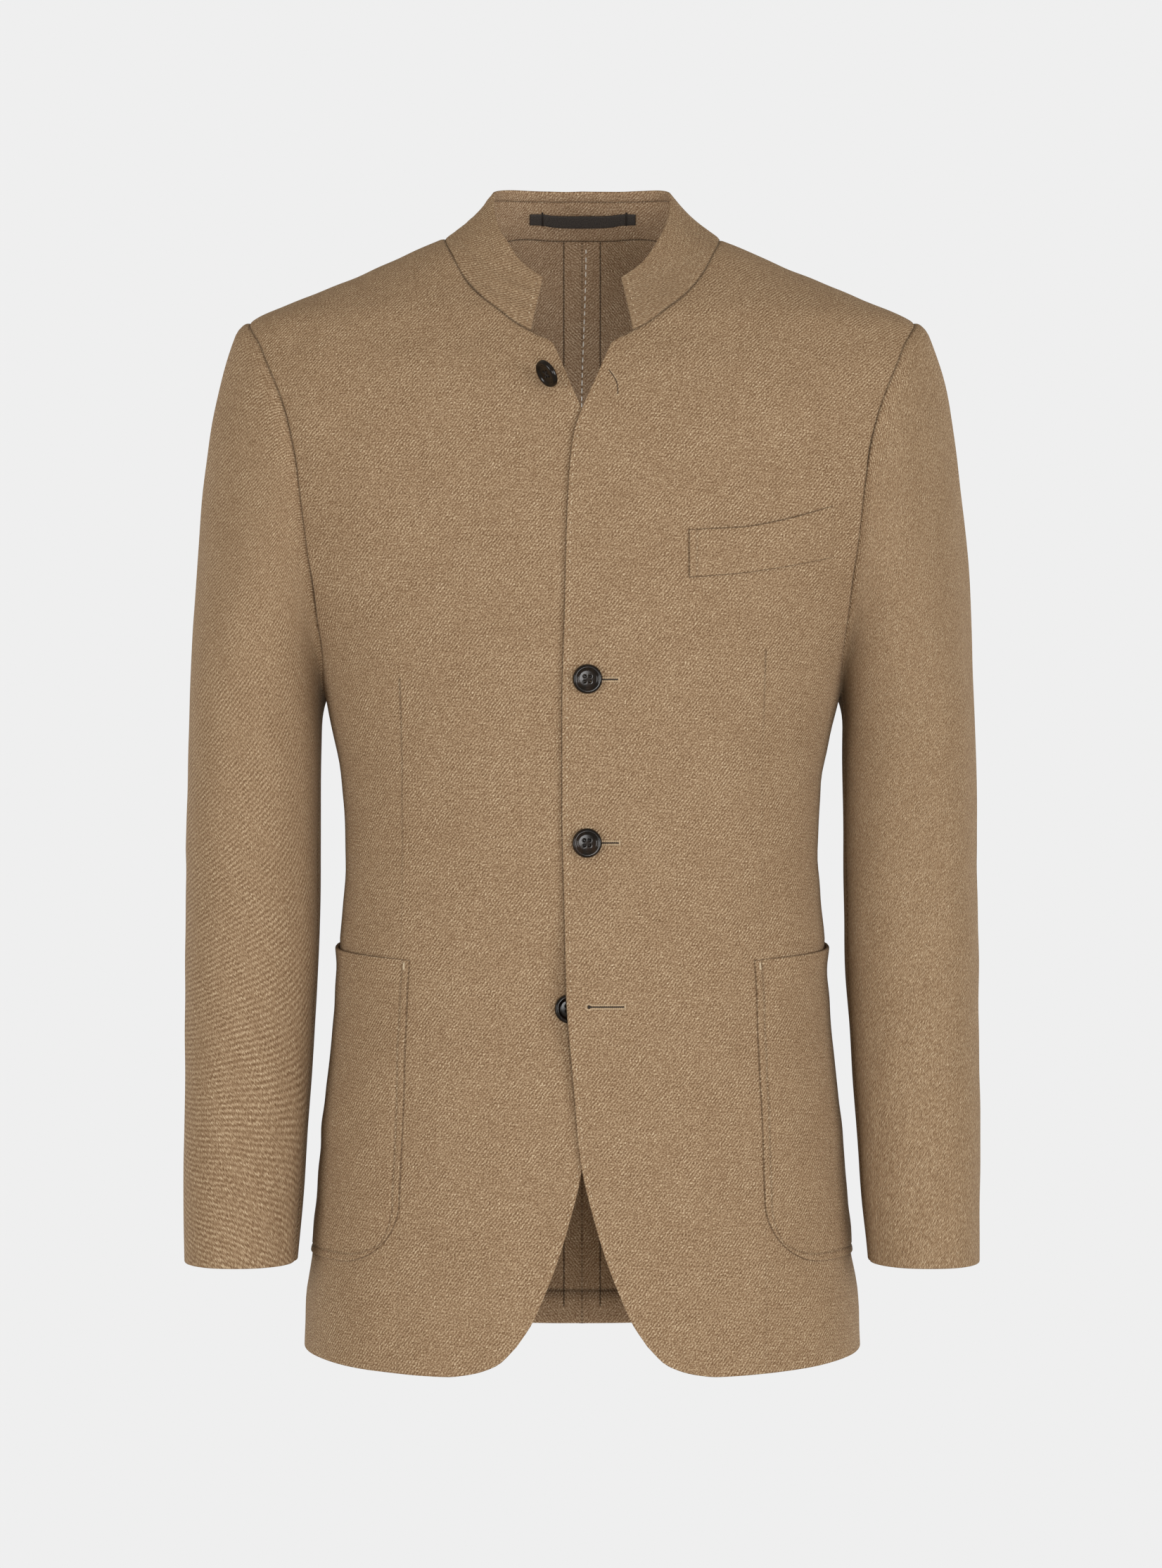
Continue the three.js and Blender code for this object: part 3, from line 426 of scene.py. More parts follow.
def shared_grid(point_at, cells, near, corners=(), coarse=(81, 161)):
    """Shares u, v of a grid whose lines keep set distances from the four borders of a surface point_at(u, v).

    The surface is measured on a coarse grid, and the wanted distances are turned back into shares there.
    near holds the distances at the left, right, bottom and top. Also returns the distances from those borders."""
    cu, cv = np.linspace(0, 1, coarse[0]), np.linspace(0, 1, coarse[1])
    points = point_at(*np.meshgrid(cu, cv))
    across, up = runs(points, 1), runs(points, 0)
    left, right, bottom, top = near
    nominal_u = np.interp(lines(across[:, -1].mean(), cells[0], left, right), across.mean(0), cu)
    nominal_v = np.interp(lines(up[-1].mean(), cells[1], bottom, top), up.mean(1), cv)
    row_runs = np.stack([np.interp(nominal_v, cv, across[:, j]) for j in range(len(cu))], -1)
    column_runs = np.stack([np.interp(nominal_u, cu, up[i]) for i in range(len(cv))], 0)
    want_u = lines(row_runs[:, -1], cells[0], left, right)
    want_v = lines(column_runs[-1], cells[1], bottom, top)
    u = np.stack([np.interp(want, run, cu) for want, run in zip(want_u, row_runs)])
    v = np.stack([np.interp(want, run, cv) for want, run in zip(want_v, column_runs.T)], -1)
    away = {"left": want_u, "right": row_runs[:, -1:] - want_u}
    away.update(bottom=want_v.T, top=column_runs[-1:] - want_v.T)
    return u, pinned(u, v, corners), away


def rounding(distance, radius):
    """How far a rounded edge has fallen at a distance from its end: a quarter circle that stops just short."""
    t = np.clip(distance / radius, 0, 1)
    return 0.86 * radius * (1 - np.sqrt(1 - (1 - t) ** 2))


def seam_ditch(distance, along, depth=0.85):
    """Ditch at a sewn seam: a narrow and a wide bell, a little deeper here and there along the seam."""
    uneven = 1 + 0.22 * np.sin(along / 7.3) * np.sin(along / 17.1 + 1.3)
    return depth * bump(distance, 1.5) + 0.42 * depth * uneven * bump(distance, 6.5)


def folded_in(distance, width, height=1.2):
    """Extra thickness inside within a width of a border: the allowance or turn-up of the cloth."""
    return height * (1 - ease(width - 0.4, width + 0.4, distance))


def ripple(x, y, seed, sizes=((90, 0.5), (48, 0.28), (24, 0.13))):
    """Soft unevenness: for each (wavelength, height), waves of about that length in random directions."""
    rng = np.random.default_rng(seed)
    total = 0 * x
    for wavelength, height in sizes:
        for _ in range(5):
            turn, phase = rng.uniform(0, math.pi), rng.uniform(0, 2 * math.pi)
            length = wavelength * rng.uniform(0.75, 1.35)
            along = x * np.cos(turn) + y * np.sin(turn)
            total = total + height / 2.2 * np.sin(2 * math.pi * along / length + phase)
    return total


def creases(x, y, table):
    """Soft folds: for each row a bell across the line from its start to its end, fading out at both ends."""
    total = 0 * x
    for x0, y0, x1, y1, width, height in table:
        dx, dy = x1 - x0, y1 - y0
        length = math.hypot(dx, dy)
        along = ((x - x0) * dx + (y - y0) * dy) / length
        off = ((x - x0) * dy - (y - y0) * dx) / length
        ends = ease(-0.25 * length, 0.3 * length, along) * (1 - ease(0.7 * length, 1.25 * length, along))
        total = total + height * bump(off, width) * ends
    return total


# Soft folds of the fronts, as x and z of both ends, width and height; the wearer's left is +x
FRONT_FOLDS = (
    (-150, -120, -40, -190, 15, 0.9), (-165, -150, -60, -240, 18, -0.9), (-60, -95, -30, -170, 9, 0.6),
    (150, -110, 45, -165, 16, 0.8), (160, -150, 70, -235, 17, -0.8), (62, -92, 34, -160, 10, 0.5),
    (-120, -300, -112, -400, 12, -0.6), (118, -300, 112, -400, 12, -0.6), (-96, -350, -30, -392, 13, 0.6),
    (104, -345, 34, -398, 13, 0.6), (-100, -430, -34, -440, 12, -0.5), (98, -436, 30, -424, 12, -0.5),
    (-80, -620, -60, -760, 26, 0.9), (84, -600, 72, -765, 24, 0.9), (-30, -560, -40, -700, 16, -0.5),
)
BACK_FOLDS = (
    (-130, -90, -60, -230, 22, 0.9), (135, -95, 58, -240, 22, 0.9), (-110, -400, -30, -420, 14, 0.8),
    (105, -415, 28, -398, 14, 0.8), (-90, -380, -25, -372, 10, -0.6), (92, -440, 36, -452, 11, -0.5),
    (-70, -600, -80, -770, 26, 1.0), (76, -620, 84, -770, 26, 1.0), (-34, -20, -60, -70, 12, 0.6),
    (36, -22, 64, -76, 12, 0.6),
)
# Soft folds of a sleeve, as angle in degrees from its outer side and height
SLEEVE_FOLDS = (
    (20, -430, 88, -446, 10, 0.9), (30, -462, 96, -470, 9, -0.8), (44, -486, 112, -500, 11, 0.7),
    (-60, -424, -10, -438, 12, -0.5), (60, -240, 70, -360, 9, -0.5), (96, -300, 104, -420, 8, 0.5),
    (30, -600, 62, -700, 12, 0.5), (100, -560, 80, -660, 10, -0.5), (-20, -120, -8, -260, 14, 0.5),
    (24, -90, 40, -200, 10, -0.4), (160, -410, 120, -430, 12, -0.6),
)


def front_form(x, z):
    """Unevenness and folds of both fronts, by x and z, so that they agree where one lies on the other."""
    return ripple(x, z, 3) + creases(x, z, FRONT_FOLDS)


def pocket_sink(turn, z):
    """How far the side of a front is pressed in under its pocket, so that the pocket's face stays on the form."""
    degrees = np.degrees(turn)
    around = ease(50, 75, degrees) * (1 - ease(91, 97, degrees))
    return 2.2 * around * ease(-745, -712, z) * (1 - ease(-515, -492, z))


def front_lift(x, z, side):
    """Height of a front above the body's form: room at the lowest button, and the right front under the left."""
    room = bump(x * side - LOW_ROOM["x"], LOW_ROOM["across"]) * bump(z - LOW_ROOM["z"], LOW_ROOM["along"])
    if side > 0:
        return LOW_ROOM["lift"] * room
    under = 1 - ease(UNDERLAP["full"], UNDERLAP["none"], x)
    under = under * (1 - ease(UNDERLAP["lowest"], UNDERLAP["highest"], z))
    return -UNDERLAP["sink"] * under - LOW_ROOM["lift"] * room


def make_mesh(name, points, faces, material, uv=None, values=None):
    """Object at the origin from points in millimetres and faces, with its UV map and point values."""
    mesh = bpy.data.meshes.new(name)
    mesh.from_pydata((points * MM).tolist(), [], faces if isinstance(faces, list) else faces.tolist())
    mesh.polygons.foreach_set("use_smooth", np.ones(len(mesh.polygons), bool))
    if uv is not None:
        corners = np.empty(len(mesh.loops), np.int32)
        mesh.loops.foreach_get("vertex_index", corners)
        layer = mesh.uv_layers.new(name="cloth")
        layer.data.foreach_set("uv", (uv[corners] * MM).astype(np.float32).ravel())
    for key, value in (values or {}).items():
        data = mesh.attributes.new(key, "FLOAT", "POINT").data
        data.foreach_set("value", np.broadcast_to(value, len(points)).astype(np.float32).ravel())
    mesh.materials.append(material)
    mesh.update()
    piece = bpy.data.objects.new(name, mesh)
    bpy.context.collection.objects.link(piece)
    return piece


def outward(points, faces):
    """Faces turned round if the closed body's volume, a sum of p . (q x r) over its faces, is negative."""
    p = points[faces]
    volume = np.einsum("ij,ij->i", p[:, 0], np.cross(p[:, 1], p[:, 2])).sum()
    volume += np.einsum("ij,ij->i", p[:, 0], np.cross(p[:, 2], p[:, 3])).sum()
    return faces if volume > 0 else faces[:, ::-1]


def grid_faces(rows, columns):
    """Four-sided faces of a grid of points."""
    index = np.arange(rows * columns).reshape(rows, columns)
    return np.stack((index[:-1, :-1], index[:-1, 1:], index[1:, 1:], index[1:, :-1]), -1).reshape(-1, 4)


def shell(name, outer, inner, uv, material, side=1, painted_seam_shades=(0, 0)):
    """Closed wall: the outer grid, the inner grid turned round, and a strip of faces along their border.

    The last argument holds, for the outer and then the inner points, how much painted shade darkens each
    one, from 0 to 1: along sewn lines, at fold edges and in crevices."""
    rows, columns = outer.shape[:2]
    count = rows * columns
    points = np.concatenate((outer.reshape(-1, 3), inner.reshape(-1, 3))) * (side, 1, 1)
    index = np.arange(count).reshape(rows, columns)
    ring = np.concatenate((index[0, :-1], index[:-1, -1], index[-1, :0:-1], index[:0:-1, 0]))
    after = np.roll(ring, -1)
    face = grid_faces(rows, columns)
    strip = np.stack((after, ring, ring + count, after + count), -1)
    faces = outward(points, np.concatenate((face, face[:, ::-1] + count, strip)))
    inside = np.concatenate((np.zeros(count), np.ones(count)))
    painted_seam_shade = np.concatenate([np.ravel(np.broadcast_to(one, (rows, columns))) for one in painted_seam_shades])
    values = {"inside": inside, "painted_seam_shade": painted_seam_shade}
    return make_mesh(name, points, faces, material, np.tile(uv.reshape(-1, 2), (2, 1)), values)


def cut_size(outer, uv, level=None):
    """Width, length and area of the cloth of a grid of points, in metres and square metres.

    The width is the longest row's, or the reach of the cloth's own map if that is less, or else that of the
    points of a level line; the length is the longest column's or that reach; the area is the faces' sum."""
    width = min(runs(outer, 1)[:, -1].max(), np.ptp(uv[..., 0])) * MM
    if level is not None:
        width = runs(level[None], 1)[0, -1] * MM
    length = min(runs(outer, 0)[-1].max(), np.ptp(uv[..., 1])) * MM
    diagonal, other = outer[1:, 1:] - outer[:-1, :-1], outer[1:, :-1] - outer[:-1, 1:]
    return width, length, np.linalg.norm(np.cross(diagonal, other), axis=-1).sum() / 2 * MM * MM


def sew(piece, node, outer=None, uv=None, level=None):
    """Attaches a piece to the root and hides its node's part; the width, length and area of its cloth are worked
    out but not passed on.
    """
    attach(piece, "root")
    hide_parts(node)
    if outer is not None:
        width, length, area = cut_size(outer, uv, level)
    return piece


def trim(piece):
    """Small sewing or trim that goes with the garment."""
    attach(piece, "root")
    return piece


class Finish:
    """A material's nodes, added one at a time: sockets take a number, a colour or another node's output."""

    def __init__(self, name):
        self.material = bpy.data.materials.new(name)
        self.material.use_nodes = True
        self.tree = self.material.node_tree
        self.shader = self.tree.nodes["Principled BSDF"]

    def add(self, kind, sockets=None, output=0, **settings):
        """Adds a node, sets or links its sockets, and returns one of its outputs."""
        made = self.tree.nodes.new("ShaderNode" + kind)
        for key, value in settings.items():
            setattr(made, key, value)
        for key, value in (sockets or {}).items():
            self.feed(made.inputs[key], value)
        return made.outputs[output]

    def feed(self, socket, value):
        """Links an output to a socket, or sets the socket's own value."""
        if isinstance(value, bpy.types.NodeSocket):
            self.tree.links.new(value, socket)
        else:
            socket.default_value = value

    def math(self, operation, a, b=0.0, c=0.0):
        """One arithmetic step on numbers."""
        return self.add("Math", {0: a, 1: b, 2: c}, operation=operation)

    def noise(self, vector, scale, detail=2.0, roughness=0.5):
        """Smooth noise between 0 and 1."""
        return self.add("TexNoise", {"Vector": vector, "Scale": scale, "Detail": detail, "Roughness": roughness})

    def stretch(self, vector, x, y):
        """Vector scaled by x and y."""
        return self.add("VectorMath", {0: vector, 1: (x, y, 1.0)}, operation="MULTIPLY")

    def range(self, value, low, high, to_low, to_high):
        """Value carried from one range to another, held at its ends."""
        return self.add("MapRange", {0: value, 1: low, 2: high, 3: to_low, 4: to_high}, clamp=True)

    def tint(self, a, b, share):
        """Colour between a and b."""
        return self.add("Mix", {0: share, 6: a, 7: b}, output=2, data_type="RGBA")

    def shade(self, colour, amount):
        """Colour multiplied by a number."""
        return self.add("VectorMath", {0: colour, "Scale": amount}, operation="SCALE")

    def total(self, *values):
        """Sum of numbers, added in their order."""
        result = values[0]
        for value in values[1:]:
            result = self.math("ADD", result, value)
        return result

    def bell(self, value, middle, width):
        """exp(-((value - middle) / width) ^ 2)."""
        near = self.math("DIVIDE", self.math("SUBTRACT", value, middle), width)
        return self.math("EXPONENT", self.math("MULTIPLY", self.math("MULTIPLY", near, near), -1.0))

    def dim(self, colour, share, amount):
        """Colour darkened to 1 - share * amount of itself."""
        return self.shade(colour, self.math("SUBTRACT", 1.0, self.math("MULTIPLY", share, amount)))

    def relief(self, height, strength, distance):
        """Directions of a surface with a height on it."""
        return self.add("Bump", {"Height": height, "Strength": strength, "Distance": distance})

    def finished(self, **sockets):
        """Feeds the shader's sockets, whose names have _ for each space, and returns the material."""
        for key, value in sockets.items():
            self.feed(self.shader.inputs[key.replace("_", " ")], value)
        return self.material


WALE_PITCH = 1.97
WALE_ANGLE = math.radians(52)
FLOAT_LENGTH = 3.4
CLOTH_COLOUR = (0.297, 0.201, 0.119)
# Colour of the inside: the same cloth painted lighter, as painted light in the hollow.
INSIDE_PAINTED_LIGHT_COLOUR = (0.345, 0.232, 0.142)
DARK_FIBRE = (0.125, 0.068, 0.034)
PALE_FIBRE = (0.58, 0.46, 0.33)
TONE_POWERS = (0.68, 0.85, 1.0)


def wool(name, darts=(), allowance=None):
    """Wool twill: wales rising to the right, broken into floats, with fibres of several browns and a soft nap.

    Everything runs on the piece's own UV map, which holds real millimetres of cloth. The inside is painted lighter
    than the outside, as painted light in the hollow. A dart is a straight sewn ditch with painted shade along it,
    given as its distance from the centre and the heights of its two ends. An allowance draws the cut edge of the
    opened seam allowance inside as a line of painted shade, at that distance from the centre seam. A value on
    the points darkens sewn lines, fold edges and crevices as painted shade."""
    f = Finish(name)
    place = f.stretch(f.add("UVMap", uv_map="cloth"), 1000, 1000)
    inside = f.add("Attribute", {}, 2, attribute_name="inside")
    split = f.add("SeparateXYZ", {0: place})
    upright = split.node.outputs[1]
    if allowance:
        on_allowance = f.math("LESS_THAN", f.math("ABSOLUTE", split), allowance)
        on_turn_up = f.math("LESS_THAN", upright, BACK_HEM + HEM_TURN_UP)
        turned = f.math("MULTIPLY", inside, f.math("MAXIMUM", on_allowance, on_turn_up))
        over = f.math("SUBTRACT", 1.0, f.math("MULTIPLY", turned, 2.0))
        place = f.add("VectorMath", {0: place, 1: f.add("CombineXYZ", {0: over, 1: 1.0})}, operation="MULTIPLY")
    waver = f.math("MULTIPLY", f.math("SUBTRACT", f.noise(place, 0.30, 2), 0.5), 2.4)
    sine, cosine = math.sin(WALE_ANGLE), math.cos(WALE_ANGLE)
    off = f.add("VectorMath", {0: place, 1: (-sine, cosine, 0)}, output=1, operation="DOT_PRODUCT")
    along = f.add("VectorMath", {0: place, 1: (cosine, sine, 0)}, output=1, operation="DOT_PRODUCT")
    row = f.math("DIVIDE", f.math("ADD", off, waver), WALE_PITCH)
    wale = f.math("ADD", f.math("MULTIPLY", f.math("SINE", f.math("MULTIPLY", row, 2 * math.pi)), 0.5), 0.5)
    step = f.math("MULTIPLY", f.math("FLOOR", row), 0.37)
    beat = f.math("FRACT", f.math("ADD", f.math("DIVIDE", along, FLOAT_LENGTH), step))
    sway = f.math("ABSOLUTE", f.math("SUBTRACT", f.math("MULTIPLY", beat, 2.0), 1.0))
    float_ends = f.math("SUBTRACT", 1.0, sway)
    fibre = f.noise(place, 0.9, 4, 0.6)
    weft = f.noise(f.stretch(place, 0.2, 1.0), 0.8, 2, 0.6)
    warp = f.noise(f.stretch(place, 1.0, 0.2), 0.8, 2, 0.6)
    cloud = f.noise(place, 0.028, 3, 0.5)
    patchy = f.noise(place, 0.17, 3, 0.6)
    nap = f.noise(place, 0.045, 3, 0.5)
    fleck = f.noise(f.stretch(place, 0.8, 1.3), 1.1, 3, 0.5)
    pale_fleck = f.noise(f.stretch(place, 1.3, 0.8), 1.3, 3, 0.5)

    # The inside gets the lighter colour: painted light.
    colour = f.tint((*CLOTH_COLOUR, 1), (*INSIDE_PAINTED_LIGHT_COLOUR, 1), inside)
    noises = ((fibre, 1.0), (weft, 0.15), (warp, 0.10), (cloud, 0.06), (patchy, 0.15))
    tone = f.total(
        *(f.range(noise, 0.3, 0.7, -reach, reach) for noise, reach in noises),
        f.math("MULTIPLY", f.math("SUBTRACT", wale, 0.5), f.range(nap, 0.4, 0.6, 0.45, 0.9)),
        f.math("MULTIPLY", f.math("SUBTRACT", float_ends, 0.5), 0.25),
    )
    power = [f.math("EXPONENT", f.math("MULTIPLY", tone, one)) for one in TONE_POWERS]
    depth = f.add("CombineXYZ", {0: power[0], 1: power[1], 2: power[2]})
    colour = f.add("VectorMath", {0: colour, 1: depth}, operation="MULTIPLY")
    colour = f.tint(colour, (*DARK_FIBRE, 1), f.range(fleck, 0.60, 0.68, 0, 0.5))
    colour = f.tint(colour, (*PALE_FIBRE, 1), f.range(pale_fleck, 0.62, 0.70, 0, 0.45))

    shares = ((wale, 0.20), (float_ends, 0.06), (fibre, 0.18), (f.math("ADD", weft, warp), 0.10))
    height = f.total(*(f.math("MULTIPLY", part, share) for part, share in shares))
    # Painted shade: darts and the allowance's cut edge darken the colour as well as lowering the bump height.
    shaded_lines = []
    for middle, low, high in darts:
        shown = f.math("MULTIPLY", f.range(upright, low, high, 0.15, 0.8), f.range(upright, high - 3, high, 1, 0))
        shaded_lines.append((f.math("MULTIPLY", f.bell(split, middle, 0.8), shown), 0.45))
    if allowance:
        fold = BACK_HEM + HEM_TURN_UP
        shown = f.math("MULTIPLY", inside, f.range(upright, fold, fold + 1, 0, 1))
        shaded_lines.append((f.math("MULTIPLY", f.bell(f.math("ABSOLUTE", split), allowance, 0.5), shown), 0.72))
    for line, shade_amount in shaded_lines:
        height = f.math("SUBTRACT", height, f.math("MULTIPLY", line, 0.7))
        colour = f.dim(colour, line, shade_amount)
    # Painted shade along sewn lines, fold edges and crevices, from the value on the points.
    colour = f.dim(colour, f.add("Attribute", {}, 2, attribute_name="painted_seam_shade"), 0.5)
    return f.finished(
        Base_Color=colour,
        Normal=f.relief(height, 0.75, MM),
        Roughness=f.range(fibre, 0.3, 0.7, 0.82, 0.95),
        Specular_IOR_Level=0.22,
        Sheen_Weight=0.12,
        Sheen_Roughness=0.45,
        Sheen_Tint=(0.85, 0.72, 0.56, 1),
    )


def thread(name, colour, roughness=0.6):
    """Twisted sewing thread: fine slanting ribs and slightly uneven dye, on Object coordinates."""
    f = Finish(name)
    place = f.add("TexCoord", {}, 3)
    twist = f.add("TexWave", {"Vector": place, "Scale": 900.0, "Distortion": 1.5}, 1, bands_direction="DIAGONAL")
    dye = f.noise(place, 700.0, 2)
    dyed = f.shade(colour, f.range(dye, 0.3, 0.7, 0.8, 1.2))
    return f.finished(Base_Color=dyed, Normal=f.relief(twist, 0.5, 0.0001), Roughness=roughness)


def horn(name):
    """Polished near-black button: faint brown marbling, small scratches in its gloss."""
    f = Finish(name)
    place = f.add("TexCoord", {}, 3)
    marble = f.noise(f.add("VectorMath", {0: place, 1: (160, 160, 60)}, operation="MULTIPLY"), 1.0, 4, 0.6)
    colour = f.tint((0.004, 0.003, 0.0025, 1), (0.022, 0.012, 0.007, 1), f.range(marble, 0.45, 0.75, 0, 1))
    scratch = f.noise(place, 1400.0, 3)
    gloss = f.range(scratch, 0.35, 0.65, 0.13, 0.20)
    relief = f.relief(scratch, 0.04, 0.0001)
    return f.finished(Base_Color=colour, Roughness=gloss, Normal=relief, Specular_IOR_Level=0.34)


def woven_tape(name):
    """Black woven tape: fine ribs across it and a little lint."""
    f = Finish(name)
    place = f.stretch(f.add("UVMap", uv_map="cloth"), 1000, 1000)
    rib = f.add("TexWave", {"Vector": place, "Scale": 0.55, "Distortion": 0.4}, 1, bands_direction="X")
    lint = f.noise(place, 1.3, 4)
    tone = f.math("ADD", f.math("MULTIPLY", rib, 0.5), f.range(lint, 0.35, 0.65, 0.3, 1.9))
    black = f.shade((0.030, 0.025, 0.022), tone)
    return f.finished(Base_Color=black, Normal=f.relief(rib, 0.5, 0.0002), Roughness=0.7)


def plain_floor(name):
    """Matt pale floor that fades out towards its rim."""
    f = Finish(name)
    place = f.add("TexCoord", {}, 3)
    away = f.add("VectorMath", {0: place}, 1, operation="LENGTH")
    return f.finished(Alpha=f.range(away, 0.55, 1.15, 1, 0), Base_Color=(0.80, 0.80, 0.80, 1), Roughness=0.9)


def add_camera():
    """Camera level with the middle of the garment, straight in front of it."""
    data = bpy.data.cameras.new("camera")
    data.sensor_width = 36
    data.lens = 87.2
    camera = bpy.data.objects.new("camera", data)
    camera.location = (-0.00075, -2.7, -0.385)
    camera.rotation_euler = (math.radians(90), 0, 0)
    bpy.context.collection.objects.link(camera)
    bpy.context.scene.camera = camera


def add_light(name, place, target, size, power):
    """Square soft light at a place, facing a target."""
    data = bpy.data.lights.new(name, "AREA")
    data.size = size
    data.energy = power
    light = bpy.data.objects.new(name, data)
    light.location = place
    away = np.array(target) - np.array(place)
    flat = math.hypot(away[0], away[1])
    light.rotation_euler = (math.atan2(flat, -away[2]), 0, math.atan2(away[0], -away[1]) + math.pi)
    bpy.context.collection.objects.link(light)


BACKGROUND = 0.863
SURROUND = (0.415, 0.362, 0.295)
FLOOR_HEIGHT, FLOOR_RADIUS, FLOOR_CORNERS = -1250, 1200, 96
# Soft lights: name, place, target, size and power
LIGHTS = (
    ("left_light", (-2.6, -2.35, -0.45), (0, 0, -0.40), 1.5, 43),
    ("right_light", (2.6, -2.35, -0.35), (0, 0, -0.40), 1.5, 47),
    ("front_light", (0.5, -3.1, -0.85), (0.03, 0, -0.40), 0.9, 25),
    ("high_light", (0.2, -2.2, 1.7), (0, 0, -0.15), 1.2, 2),
    ("rear_left_light", (-2.4, 2.5, -0.4), (0, 0, -0.40), 1.5, 22),
    ("rear_right_light", (2.4, 2.5, -0.4), (0, 0, -0.40), 1.5, 22),
    ("inner_light", (0, -0.045, -0.17), (0, 0.09, -0.14), 0.09, 0.12),
)


def add_studio():
    """Pale background, softer light from all round, soft lights in front, behind and inside, and the floor."""
    world = bpy.data.worlds.new("studio")
    world.use_nodes = True
    nodes, links = world.node_tree.nodes, world.node_tree.links
    seen, lit = nodes["Background"], nodes.new("ShaderNodeBackground")
    seen.inputs[0].default_value = (BACKGROUND, BACKGROUND, BACKGROUND, 1)
    lit.inputs[0].default_value = (*SURROUND, 1)
    path, choose = nodes.new("ShaderNodeLightPath"), nodes.new("ShaderNodeMixShader")
    links.new(path.outputs["Is Camera Ray"], choose.inputs[0])
    links.new(lit.outputs[0], choose.inputs[1])
    links.new(seen.outputs[0], choose.inputs[2])
    links.new(choose.outputs[0], nodes["World Output"].inputs[0])
    bpy.context.scene.world = world
    for light in LIGHTS:
        add_light(*light)
    bpy.context.scene.view_settings.view_transform = "Standard"
    turn = np.linspace(0, 2 * math.pi, FLOOR_CORNERS + 1)[:-1]
    rim = np.stack((FLOOR_RADIUS * np.cos(turn), FLOOR_RADIUS * np.sin(turn), 0 * turn + FLOOR_HEIGHT), -1)
    points = np.concatenate(([[0, 0, FLOOR_HEIGHT]], rim))
    faces = [[0, 1 + k, 1 + (k + 1) % FLOOR_CORNERS] for k in range(FLOOR_CORNERS)]
    make_mesh("floor", points, faces, plain_floor("floor"))


def body_uv(turn, z, side, start=0.0, mirror=1):
    """Cloth millimetres of a body panel: distance around from the centre, and height let out over the shoulder."""
    arc = body_arc(turn, z, start)
    around = 1 - ease(ARMHOLE["bottom"], AROUND_BELOW, z)
    across = np.abs(body_point(turn, z)[..., 0])
    roll = FRONT_ROLL if start == 0 else BACK_ROLL
    drop = np.maximum(shoulder_height(across) - z, 0)
    up = shoulder_height(across) + roll - np.sqrt(drop * drop + 2 * roll * drop)
    return np.stack((mix(across, arc, around) * side * mirror * np.where(turn < start, -1, 1), up), -1)


def front_surface():
    """Fine grid of a front: turns, heights, points, directions out, distances from its borders, the share up
    of each row, and the share at which the front edge ends."""
    borders, corners = front_borders()
    near = (AT_EDGE, AT_SEAM, AT_HEM, AT_SEAM)
    u, v, away = shared_grid(lambda a, b: body_point(*open_front(patch(borders, a, b))), (46, 112), near, corners)
    turn, z = open_front(patch(borders, u, v))
    return turn, z, body_point(turn, z), body_normal(turn, z), away, v, corners[0][1]


def front_piece(side, name, surface, material):
    """Front: rounded at its edge and hem, ditched at its seams, turned in at the hem and side seam inside."""
    turn, z, point, normal, away, v, edge_share = surface
    x = point[..., 0] * side
    open_edge = 1 - ease(edge_share, edge_share + 0.02, v)
    base = front_lift(point[..., 0], z, side) + front_form(x, z) - pocket_sink(turn, z)
    left_open = mix(99.0, away["left"], open_edge)
    fall = np.maximum(rounding(left_open, CLOTH / 2), rounding(away["bottom"], CLOTH / 2))
    neck = mix(99.0, away["left"], 1 - open_edge)
    calm = 1 - 0.9 * bump(z - ARMHOLE["bottom"], 26)
    ditch = seam_ditch(away["right"], z) * calm + seam_ditch(away["top"], x) + seam_ditch(neck, z)
    outer = point + normal * (base - fall - ditch)[..., None]
    turned = np.maximum(folded_in(away["right"], SIDE_ALLOWANCE), folded_in(away["bottom"], HEM_TURN_UP))
    inner = point + normal * (base - CLOTH - np.where(fall > 0.01, 0, turned) + fall)[..., None]
    # Painted shade: darker lines along the sewn seams and, where the left front lies over the right one, a painted
    # crevice shade along its edge outside; inside, darker lines at the folds of the allowance and the hem.
    sewn = bump(np.minimum(np.minimum(away["right"] + 3 * (1 - calm), away["top"]), neck), 0.8)
    crevice_shade_span = ease(-650, -600, z) * (1 - ease(-140, -115, z)) * (side > 0)
    sewn = sewn + 1.3 * bump(left_open, 0.6) * crevice_shade_span
    folds = np.minimum(np.abs(away["right"] - SIDE_ALLOWANCE), np.abs(away["bottom"] - HEM_TURN_UP))
    painted_fold_shade = bump(folds, 0.5)
    uv = body_uv(turn, z, side)
    piece = shell(name, outer, inner, uv, material, side, (sewn, painted_fold_shade))
    sew(piece, name, outer, uv)
    return outer


